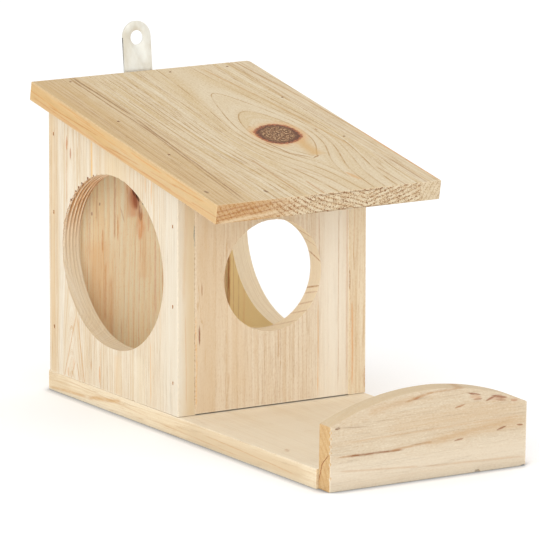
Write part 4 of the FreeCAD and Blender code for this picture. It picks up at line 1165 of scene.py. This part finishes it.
ROOF_WOOD = softwood("roof_wood", {
    "axes": roof_axes, "grain": tuple(DOWN_SLOPE), "seed": 21.0,
    "box": ((low.x, high.x + 20), (0, ROOF_LENGTH), (0, BOARD)),
    "heart": (20.0, -45.0), "ring": 2.0, "phase": 0.78, "middle": 98.0, "fan": 0.0007, "lean": 0.02,
    # Painted light: the edge faces that look to the sides get their own warm orange tan.
    "pinch": 0.4, "facing_painted_light": ((1, 0, 0), tint(231, 192, 134), 0.6), "sway": 1.6, "contrast": 0.25,
    "uneven": 0.3, "ply": 0.75, "hair": 0.85, "streak": 0.75, "lines_depth": 0.95,
    "calm": 26.0, "line_width": 0.9, "bold_years": (-2, -1),
    "end_lift": (-8.0, -42.0, tint(188, 138, 80), 0.68),
    "end_marks": [(-62.0, 3.6, -40.0, 1.4, 0.7, 0.5, (150, 90, 50)),
                  (-62.0, 6.2, -34.0, 2.6, 0.5, 0.6, (148, 88, 48)),
                  (-50.0, 4.0, -22.0, 0.8, 0.5, 0.5, (146, 94, 56)),
                  (-44.0, 6.6, -16.0, 2.4, 0.5, 0.5, (150, 100, 62)),
                  (-36.0, 8.6, -8.0, 4.2, 0.5, 0.5, (156, 108, 70)),
                  (-62.0, 8.0, -38.0, 5.0, 0.5, 0.5, (158, 100, 60)),
                  (-60.0, 9.2, -24.0, 6.2, 1.6, 0.6, (228, 208, 174)),
                  (-10.0, 0.8, 34.0, 0.9, 0.6, 0.5, (120, 80, 50)),
                  (-12.0, 8.8, 40.0, 8.8, 0.5, 0.5, (120, 80, 50))],
    "pale": tint(213, 195, 164), "deep": tint(203, 178, 134), "line": tint(172, 132, 78),
    "light": tint(220, 206, 179), "end_pale": tint(218, 202, 172), "end_deep": tint(190, 156, 112),
    "pores": 0.95, "worn": tint(224, 198, 156), "grit": 0.32,
    "swellings": [(20.0, 98.0, 8.1, 20.0, 30.0)],
    "knots": [(19.0, 97.4, 11.4, 13.8, 0.55)],
    "marks": [(-30.0, -58.0, 210.0, -54.0, 34.0, 0.62, (194, 160, 110)),
              (-5.0, -37.3, 60.0, -36.0, 0.8, 0.9, (136, 96, 54)),
              (50.0, -36.2, 180.0, -43.8, 0.8, 0.85, (146, 104, 60)),
              (-5.0, -39.4, 90.0, -39.0, 0.7, 0.8, (150, 108, 62)),
              (60.0, -38.0, 180.0, -46.0, 0.7, 0.7, (150, 108, 62)),
              (-5.0, -34.8, 120.0, -35.2, 0.6, 0.6, (166, 124, 76)),
              (20.0, -32.0, 178.0, -37.0, 0.6, 0.5, (170, 130, 82)),
              (10.0, -52.0, 160.0, -55.0, 0.6, 0.5, (158, 112, 62)),
              (40.0, -48.0, 178.0, -51.5, 0.5, 0.5, (164, 120, 70)),
              (3.0, 31.0, 52.0, 38.5, 1.1, 0.65, (186, 142, 84)),
              (50.0, 38.2, 125.0, 45.6, 1.0, 0.55, (190, 146, 88)),
              (-5.0, 47.8, 60.0, 50.0, 0.7, 0.5, (170, 128, 80)),
              (150.0, 22.6, 164.0, 24.4, 2.4, 0.6, (206, 150, 84)),
              (138.0, 0.2, 162.0, 12.4, 0.6, 0.6, (180, 136, 80)),
              (95.2, 40.6, 97.6, 40.8, 0.7, 0.9, (150, 92, 60)),
              (104.0, 6.4, 124.4, 11.0, 0.8, 0.9, (156, 110, 56)),
              (121.0, 9.6, 131.0, 18.4, 1.1, 1.0, (156, 110, 56)),
              (127.4, 23.8, 131.4, 17.4, 1.4, 1.0, (156, 110, 56)),
              (98.0, 25.0, 130.0, 22.6, 6.4, 0.75, (204, 164, 106)),
              (88.0, 31.8, 90.0, 32.2, 0.7, 0.8, (170, 108, 66)),
              (81.8, 28.6, 83.8, 30.4, 0.7, 0.8, (160, 106, 70)),
              (83.0, 10.6, 85.4, 11.4, 0.7, 0.7, (176, 126, 84)),
              (148.0, 41.0, 176.0, 41.6, 0.7, 0.6, (160, 112, 64)),
              (120.0, -12.0, 176.0, -13.0, 0.8, 0.6, (172, 122, 70)),
              (156.0, -2.0, 176.0, -2.4, 1.0, 0.7, (180, 126, 70)),
              (155.0, -55.5, 159.5, -55.2, 1.6, 0.9, (120, 84, 54)),
              (162.0, -27.8, 166.0, -27.4, 1.5, 0.9, (120, 84, 54))],
    "side_marks": [(16.0, 6.2, 68.0, 4.6, 0.45, 0.9, (178, 112, 50)),
                   (-4.0, 4.4, 30.0, 5.4, 0.5, 0.7, (196, 128, 62)),
                   (40.0, 2.6, 74.0, 2.8, 0.4, 0.7, (196, 132, 66)),
                   (70.0, 7.2, 106.0, 5.4, 0.5, 0.8, (184, 118, 54)),
                   (94.0, 2.2, 126.0, 2.4, 0.5, 0.85, (200, 130, 58)),
                   (84.0, 4.6, 100.0, 4.2, 0.4, 0.7, (204, 138, 70)),
                   (112.0, 5.0, 140.0, 4.0, 0.5, 0.6, (190, 124, 62)),
                   (132.0, 4.0, 164.0, 2.4, 0.5, 0.85, (190, 122, 58)),
                   (150.0, 6.4, 176.0, 5.6, 0.5, 0.7, (186, 118, 60)),
                   (-10.0, 2.2, 190.0, 2.2, 2.0, 0.15, (238, 190, 120)),
                   (70.0, 4.8, 220.0, 4.8, 5.2, 0.22, (222, 194, 148)),
                   (-60.0, 4.8, 90.0, 4.8, 5.2, 0.3, (214, 170, 104)),
                   (0.0, 7.0, 52.0, 7.6, 0.45, 0.7, (190, 126, 68)),
                   (24.0, 1.4, 60.0, 1.8, 0.4, 0.7, (206, 146, 80)),
                   (60.0, 8.2, 92.0, 8.4, 0.4, 0.7, (184, 122, 70)),
                   (104.0, 7.6, 136.0, 7.0, 0.4, 0.7, (188, 124, 66)),
                   (126.0, 1.4, 158.0, 1.2, 0.4, 0.7, (210, 150, 82)),
                   (46.0, 4.0, 96.0, 3.6, 0.4, 0.5, (206, 144, 76)),
                   (-10.0, 8.2, 190.0, 8.0, 1.6, 0.35, (214, 166, 118)),
                   (20.0, 8.4, 170.0, 7.2, 0.5, 0.5, (196, 140, 84))]})
roof = roof_stave("roof", low.x, high.x, high.x)
dress(roof, ROOF_WOOD)
roof_cuts = []
for row in ("roof_rear_nails", "roof_left_nails", "roof_right_nails"):
    roof_cuts += dents(row, (0, 0, 1), (1, 0, 0), (1.2, 1.0), DARK_DENT)
front_end = Vector((0, ROOF_REAR, ROOF_TOP)) + DOWN_SLOPE * ROOF_LENGTH
for down, size in ((30.0, (0.3, 2.5, 0.3)), (122.0, (0.3, 3.5, 0.3)), (66.0, (0.25, 2.0, 0.3))):
    corner = Vector((ROOF_LEFT, ROOF_REAR, ROOF_TOP)) + DOWN_SLOPE * down + INTO_ROOF * BOARD
    roof_cuts.append(nick(corner, size, 0.0, ROOF_WOOD))
for across, size in ((-31.0, (2.6, 0.4, 0.5)), (-8.0, (1.4, 0.4, 0.4)), (7.0, (2.2, 0.5, 0.5)),
                     (26.0, (1.5, 0.4, 0.6)), (41.0, (2.4, 0.4, 0.4)), (-47.0, (1.6, 0.4, 0.4))):
    corner = front_end + Vector((across, 0, 0)) + INTO_ROOF * BOARD
    roof_cuts.append(nick(corner, size, 0.0, ROOF_WOOD))
cut_away(roof, roof_cuts)
hand_over(roof, "roof_board")

low, high = box_mm("roof_edge_stave")
STAVE_WOOD = softwood("roof_stave_wood", {
    "axes": roof_axes, "grain": tuple(DOWN_SLOPE), "seed": 25.0,
    "box": ((low.x - 20, high.x), (0, ROOF_LENGTH), (0, BOARD)),
    "heart": (120.0, 40.0), "ring": 2.0, "middle": 98.0, "lean": 0.05, "sway": 1.0,
    "contrast": 0.3, "ply": 0.6, "lines_depth": 0.6, "pores": 0.4,
    "pale": tint(213, 196, 166), "deep": tint(206, 181, 141), "line": tint(178, 138, 86),
    "light": tint(218, 204, 178), "end_pale": tint(216, 199, 169), "end_deep": tint(199, 175, 138),
    "marks": [(-5.0, 52.2, 60.0, 58.6, 0.8, 0.7, (178, 132, 78)),
              (56.0, 58.4, 110.0, 60.4, 0.8, 0.7, (186, 138, 80)),
              (100.0, 60.5, 178.0, 60.9, 1.2, 0.8, (206, 140, 72)),
              (140.0, 53.2, 178.0, 53.2, 0.7, 0.7, (160, 110, 62)),
              (40.0, 52.0, 120.0, 54.4, 0.6, 0.5, (172, 130, 80))]})
stave = roof_stave("roof_stave", low.x, high.x, low.x)
dress(stave, STAVE_WOOD)
hand_over(stave, "roof_edge_stave")

# %% [markdown]
# ## End board
# A low board with an arched top, glued across the front of the base and leaning out a little. The
# arch is one arc from end to end. It could be sawn as many short cuts, but crossing the blank with a
# large disc gives one curve, and a little waver in the disc gives the hand-guided saw's line.

# %% End board
STOP_HALF = 52.5
STOP_SIDE = 30.0
STOP_CROWN = 41.5
STOP_SHIFT = 2.4
STOP_START = -60.0
STOP_FACE = -130.65
rise = STOP_CROWN - STOP_SIDE
arch = (STOP_HALF ** 2 + rise ** 2) / (2 * rise)

STOP_WOOD = softwood("end_board_wood", {
    "axes": lambda x, y, z: (z, x - STOP_START, y - STOP_FACE), "grain": (1, 0, 0), "seed": 31.0,
    "box": ((0, 80.0), (STOP_SHIFT - STOP_HALF - STOP_START, STOP_SHIFT + STOP_HALF - STOP_START),
            (0, BOARD)),
    "heart": (-24.0, 60.0), "ring": 3.4, "sway": 2.4, "lean": 0.03, "contrast": 0.12, "ply": 0.3,
    "hair": 0.2, "lines_depth": 0.12, "streak": 0.25, "fibre": 0.25, "fleck": 0.2, "pores": 0.15,
    "grit": 0.26,
    # Painted shade: faces that look up, which the lamps light more than the front, are toned down to a
    # warmer tan.
    "facing_painted_light": ((0, 0, 1), tint(208, 184, 146), 0.6),
    "pale": tint(205, 188, 162), "deep": tint(201, 178, 147), "line": tint(182, 146, 106),
    "light": tint(210, 196, 172), "end_pale": tint(210, 176, 126), "end_deep": tint(196, 152, 98),
    # Painted light: the first broad pale band lifts the board's foot, which the nearby floor darkens.
    "marks": [(-20.0, 6.0, 150.0, 8.0, 13.0, 0.55, (224, 211, 190)),
              (12.0, 15.6, 28.0, 15.9, 0.9, 0.6, (166, 118, 74)),
              (18.0, 15.8, 50.0, 15.2, 0.85, 0.85, (136, 86, 48)),
              (40.0, 15.3, 66.0, 17.4, 1.0, 0.6, (176, 130, 84)),
              (56.0, 16.2, 112.0, 22.5, 2.6, 0.3, (186, 146, 98)),
              (60.0, 17.4, 118.0, 21.5, 4.6, 0.3, (194, 156, 110)),
              (75.0, 15.9, 81.5, 16.5, 0.75, 0.85, (142, 86, 48)),
              (98.0, 18.0, 104.5, 19.8, 0.9, 0.85, (134, 82, 50)),
              (109.0, 19.7, 113.5, 19.2, 0.75, 0.85, (140, 86, 52)),
              (75.0, 31.0, 82.0, 32.4, 0.8, 0.8, (156, 98, 56)),
              (12.0, 9.4, 60.0, 6.2, 0.8, 0.4, (184, 142, 102)),
              (56.0, 6.2, 118.0, 4.2, 0.8, 0.4, (188, 148, 108)),
              (47.0, 36.6, 66.0, 40.4, 1.3, 0.7, (172, 124, 78)),
              (60.0, 39.8, 84.0, 40.4, 0.8, 0.5, (176, 130, 86)),
              (53.2, 37.6, 57.4, 38.4, 0.9, 0.75, (166, 112, 74)),
              (83.0, 35.8, 91.0, 34.2, 2.0, 0.5, (196, 150, 118)),
              (81.8, 37.4, 90.6, 35.6, 0.8, 0.9, (136, 82, 54)),
              (84.8, 34.2, 91.2, 33.6, 0.8, 0.75, (150, 98, 68)),
              (92.4, 33.4, 105.0, 32.6, 2.2, 0.45, (190, 144, 114)),
              (91.6, 32.0, 99.0, 34.8, 1.0, 0.85, (138, 84, 56)),
              (94.5, 34.8, 105.0, 32.6, 1.3, 0.8, (140, 88, 60)),
              (97.0, 32.6, 104.6, 31.4, 1.0, 0.6, (150, 104, 78)),
              (105.5, 31.4, 110.0, 31.0, 1.1, 0.75, (170, 112, 84)),
              (12.0, 28.6, 15.5, 29.2, 1.0, 0.95, (110, 68, 40)),
              (14.0, 29.0, 32.0, 28.2, 0.5, 0.6, (150, 122, 96)),
              (28.0, 34.0, 56.0, 38.6, 3.2, 0.3, (190, 150, 104)),
              (36.0, 26.0, 118.0, 27.5, 8.0, 0.2, (196, 160, 116)),
              (12.0, 22.0, 118.0, 23.6, 0.6, 0.4, (196, 160, 122))]})
stop = blank("end_board", (-STOP_HALF, -BOARD, 0), (STOP_HALF, 0, STOP_CROWN + 1))
disc = start(bpy.ops.mesh.primitive_cylinder_add, vertices=720, radius=arch * MM, depth=0.04,
             location=Vector((0, -BOARD / 2, STOP_CROWN - arch)) * MM,
             rotation=(math.radians(90), 0, 0))
settle(disc)
for vertex in disc.data.vertices:
    waver = noise.noise(Vector((vertex.co.x * 90, 0, 3.0))) * 0.16 - 0.12
    vertex.co.z += waver * MM
work(stop, "BOOLEAN", object=disc, operation="INTERSECT", solver="EXACT")
bpy.data.objects.remove(disc)
ease_sharp(stop, 0.4, 40)
stop.rotation_euler.x = LEAN
stop.location = Vector((STOP_SHIFT, BASE_FRONT - BOARD * math.tan(LEAN) * math.sin(LEAN),
                        BOARD * math.sin(LEAN))) * MM
settle(stop)
dress(stop, STOP_WOOD)
stop_low, _ = box_mm("stop_board")
stop_cuts = [nick((28.9, BASE_FRONT - BOARD, 0.0), (1.8, 1.0, 1.3), 0.3, STOP_WOOD),
             nick((54.0, BASE_FRONT - BOARD, 0.0), (1.6, 2.0, 0.7), 0.1, STOP_WOOD)]
for height, size in ((24.5, (0.8, 0.7, 1.0)), (21.0, (0.7, 0.6, 0.9)), (18.2, (0.8, 0.6, 1.0)),
                     (12.6, (0.6, 0.6, 1.2)), (27.6, (0.9, 0.6, 0.7)), (6.0, (0.6, 0.5, 1.5))):
    front_y = BASE_FRONT - BOARD - height * math.tan(LEAN)
    stop_cuts.append(nick((stop_low.x, front_y, height), size, 0.5, STOP_WOOD))
cut_away(stop, stop_cuts)

SPLIT_FOOT, SPLIT_KNEE, SPLIT_TIP = 4.2, 12, 16.9
SPLIT_Y = -122.0
split = blank("split", (stop_low.x - 0.6, -0.32, SPLIT_FOOT), (stop_low.x + 0.4, 0.32, SPLIT_TIP))
select_edges(split, lambda first, second: abs(first.z - second.z) > 5)
with edit_mode():
    bpy.ops.mesh.subdivide(number_cuts=11)
for vertex in split.data.vertices:
    height = vertex.co.z / MM
    if height < SPLIT_KNEE:
        drift = (height - SPLIT_FOOT) * 0.33
    else:
        drift = 2.57 + (height - SPLIT_KNEE) * 1.05
    vertex.co.y += (SPLIT_Y - drift + 1.1 * noise.noise(Vector((0, 0, height * 0.7)))) * MM
dress(split, DENT)
cut_away(stop, [split])
hand_over(stop, "stop_board")

# %% [markdown]
# ## Hanging strap
# Flat steel, stepped back so that it clears the roof's rear edge, with round ends and three holes.
# Bending a flat strip needs a window in Blender, so the side view is drawn by extruding one edge
# from bend to bend, and a Solidify modifier gives it the sheet's thickness.

# %% Hanging strap
low, high = box_mm("hanger_plate")
STRAP_X = (low.x + high.x) / 2
STRAP_HALF = (high.x - low.x) / 2
STRAP_FRONT = low.y
STRAP_LEAN = math.radians(6.0)
STEP_LOW, STEP_HIGH, STEP_BACK = 132.6, 140.6, 4.2
EYE_UP, EYE_WIDTH = 165.3, 7.0
SCREWS_UP, SCREW_HOLE = (113.0, 126.0), 3.4

path = [(STRAP_FRONT, low.z), (STRAP_FRONT, STEP_LOW), (STRAP_FRONT + STEP_BACK, STEP_HIGH),
        (STRAP_FRONT + STEP_BACK + (high.z - STEP_HIGH) * math.tan(STRAP_LEAN), high.z)]
strap = start(bpy.ops.mesh.primitive_plane_add, size=1)
strap.name = "strap"
select_none(strap, "EDGE")
for vertex in strap.data.vertices:
    side = STRAP_HALF if vertex.co.x > 0 else -STRAP_HALF
    point = path[1] if vertex.co.y > 0 else path[0]
    vertex.select = vertex.co.y > 0
    vertex.co = Vector((STRAP_X + side, *point)) * MM
for edge in strap.data.edges:
    edge.select = all(strap.data.vertices[index].select for index in edge.vertices)
with edit_mode():
    bpy.ops.mesh.select_mode(type="EDGE")
    for before, after in zip(path[1:], path[2:]):
        step = Vector((0, after[0] - before[0], after[1] - before[1])) * MM
        bpy.ops.mesh.extrude_region_move(TRANSFORM_OT_translate={"value": step})
work(strap, "SOLIDIFY", thickness=1.0 * MM, offset=-1.0, use_even_offset=True)
ease(strap, 1.2, 5, lambda first, second:
     min(first.z, second.z) > STEP_LOW - 2 and max(first.z, second.z) < STEP_HIGH + 2
     and abs(first.x - second.x) > STRAP_HALF)
strap_low = min(vertex.co.y for vertex in strap.data.vertices) / MM
print("strap front", round(strap_low, 3), "frame", round(STRAP_FRONT, 3))


def prism(parts):
    """Solids through the strap: ("box", x, z, width, height) or ("disc", x, z, width, 0)."""
    made = []
    for kind, x, z, width, height in parts:
        spot = Vector((x, STRAP_FRONT + 5, z)) * MM
        if kind == "box":
            part = start(bpy.ops.mesh.primitive_cube_add, size=1, location=spot)
            part.scale = Vector((width, 40, height)) * MM
        else:
            part = start(bpy.ops.mesh.primitive_cylinder_add, vertices=96, radius=width / 2 * MM,
                         depth=0.04, location=spot, rotation=(math.radians(90), 0, 0))
        settle(part)
        made.append(part)
    return made


round_high = high.z - STRAP_HALF
round_low = low.z + STRAP_HALF
outline = prism([("box", STRAP_X, (round_high + round_low) / 2, 2 * STRAP_HALF,
                  round_high - round_low),
                 ("disc", STRAP_X, round_high, 2 * STRAP_HALF, 0),
                 ("disc", STRAP_X, round_low, 2 * STRAP_HALF, 0)])
for part in outline[1:]:
    work(outline[0], "BOOLEAN", object=part, operation="UNION", solver="EXACT")
    bpy.data.objects.remove(part)
work(strap, "BOOLEAN", object=outline[0], operation="INTERSECT", solver="EXACT")
bpy.data.objects.remove(outline[0])
dress(strap, ZINC)
holes = prism([("disc", STRAP_X, EYE_UP, EYE_WIDTH, 0)]
              + [("disc", STRAP_X, height, SCREW_HOLE, 0) for height in SCREWS_UP])
for hole in holes:
    dress(hole, ZINC)
cut_away(strap, holes)
ease_sharp(strap, 0.15)
take(strap)
bpy.ops.object.shade_smooth_by_angle(angle=math.radians(35))
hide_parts("hanger_plate")
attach(strap, "root")
print(f"strap: {len(strap.data.polygons)} faces")

# %% [markdown]
# ## Screws and nails
# The strap's two pan-head screws have a cross recess, which CAD leaves out. The nails are flat brads
# sunk in the wood: only the ends of their heads show at the bottom of the dents, so the CAD solids
# stay and only get their finish.

# %% Screws and nails
SEAT = STRAP_FRONT + 1.0
HEAD_RADIUS, HEAD_TALL = 3.0, 2.0
SHANK_RADIUS, SHANK_LONG, POINT_LONG = 1.5, 6.7, 2.5


def pan_screw(name, z):
    """One screw: a domed head with a cross recess, on a pointed shank."""
    head = start(bpy.ops.mesh.primitive_cylinder_add, vertices=64, radius=HEAD_RADIUS * MM,
                 depth=HEAD_TALL * MM)
    head.data.transform(Matrix.Translation((0, 0, HEAD_TALL / 2 * MM)))
    select_none(head, "FACE")
    for polygon in head.data.polygons:
        polygon.select = polygon.normal.z > 0.9
    with edit_mode():
        bpy.ops.mesh.bevel(offset=1.0 * MM, segments=6, affect="EDGES")
    cross = []
    for turn in (0, math.pi / 2):
        bar = start(bpy.ops.mesh.primitive_cube_add, size=1, location=(0, 0, HEAD_TALL * MM),
                    rotation=(0, 0, turn + 0.5))
        bar.scale = Vector((3.4, 0.75, 2.4)) * MM
        settle(bar)
        cross.append(bar)
    for bar in cross:
        work(head, "BOOLEAN", object=bar, operation="DIFFERENCE", solver="EXACT")
        bpy.data.objects.remove(bar)
    point = start(bpy.ops.mesh.primitive_cone_add, vertices=48, radius1=SHANK_RADIUS * MM,
                  radius2=0.1 * MM, depth=POINT_LONG * MM)
    point.data.transform(Matrix.Translation((0, 0, -7.75 * MM)) @ Matrix.Scale(-1, 4, (0, 0, 1)))
    point.data.flip_normals()
    shank = start(bpy.ops.mesh.primitive_cylinder_add, vertices=48, radius=SHANK_RADIUS * MM,
                  depth=SHANK_LONG * MM)
    shank.data.transform(Matrix.Translation((0, 0, -3.25 * MM)))
    for part in (shank, point):
        work(head, "BOOLEAN", object=part, operation="UNION", solver="EXACT")
        bpy.data.objects.remove(part)
    turn = Matrix.Rotation(math.radians(-90), 4, "X")
    head.data.transform(Matrix.Translation(Vector((STRAP_X, SEAT, z)) * MM) @ turn)
    head.name = name
    return head


screws = [pan_screw(name, z) for name, z in zip(("screw_low", "screw_high"), SCREWS_UP)]
take(*screws)
bpy.ops.object.join()
screws = bpy.context.object
screws.name = "screws"
bpy.ops.object.shade_smooth_by_angle(angle=math.radians(35))
dress(screws, SCREW_ZINC)
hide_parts("hanger_screws")
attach(screws, "root")
print(f"screws: {len(screws.data.polygons)} faces")

for name, node in nodes.items():
    if name.endswith("_nails"):
        for slot in node.material_slots:
            slot.material = WIRE_STEEL

# %% [markdown]
# ## Floor finish and sizes
# The floor is plain and pale, a little short of white, with a painted contact shadow: it turns grey
# where ambient occlusion finds the base close by. Last, the dressed model's box is printed beside the
# CAD model's. The looks must never make it larger.

# %% Floor finish and sizes
paper = Bench("white_sweep")
x, y, z = paper.place()
tooth = paper.noise(x * 0.02, y * 0.02, z, 2.0)
# Painted shadow: where ambient occlusion finds the base close by, the floor is mixed towards grey.
open_sky = Wire(paper, paper.node("AmbientOcclusion", {"samples": 16}, Distance=0.008).outputs["AO"])
white = paper.mix(tint(250, 250, 250), tint(252, 252, 252), tooth)
paper.shader.inputs["Emission Color"].default_value = (1, 1, 1, 1)
paper.shader.inputs["Emission Strength"].default_value = 0.08
floor.data.materials.append(paper.finish(
    paper.mix(tint(150, 151, 154), white, paper.soft(open_sky, 0.4, 0.95)), 0.9))

low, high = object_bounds()
for side, cad, made in (("low", cad_low, low), ("high", cad_high, high)):
    print("box", side, [round(v / MM, 2) for v in cad], [round(v / MM, 2) for v in made])
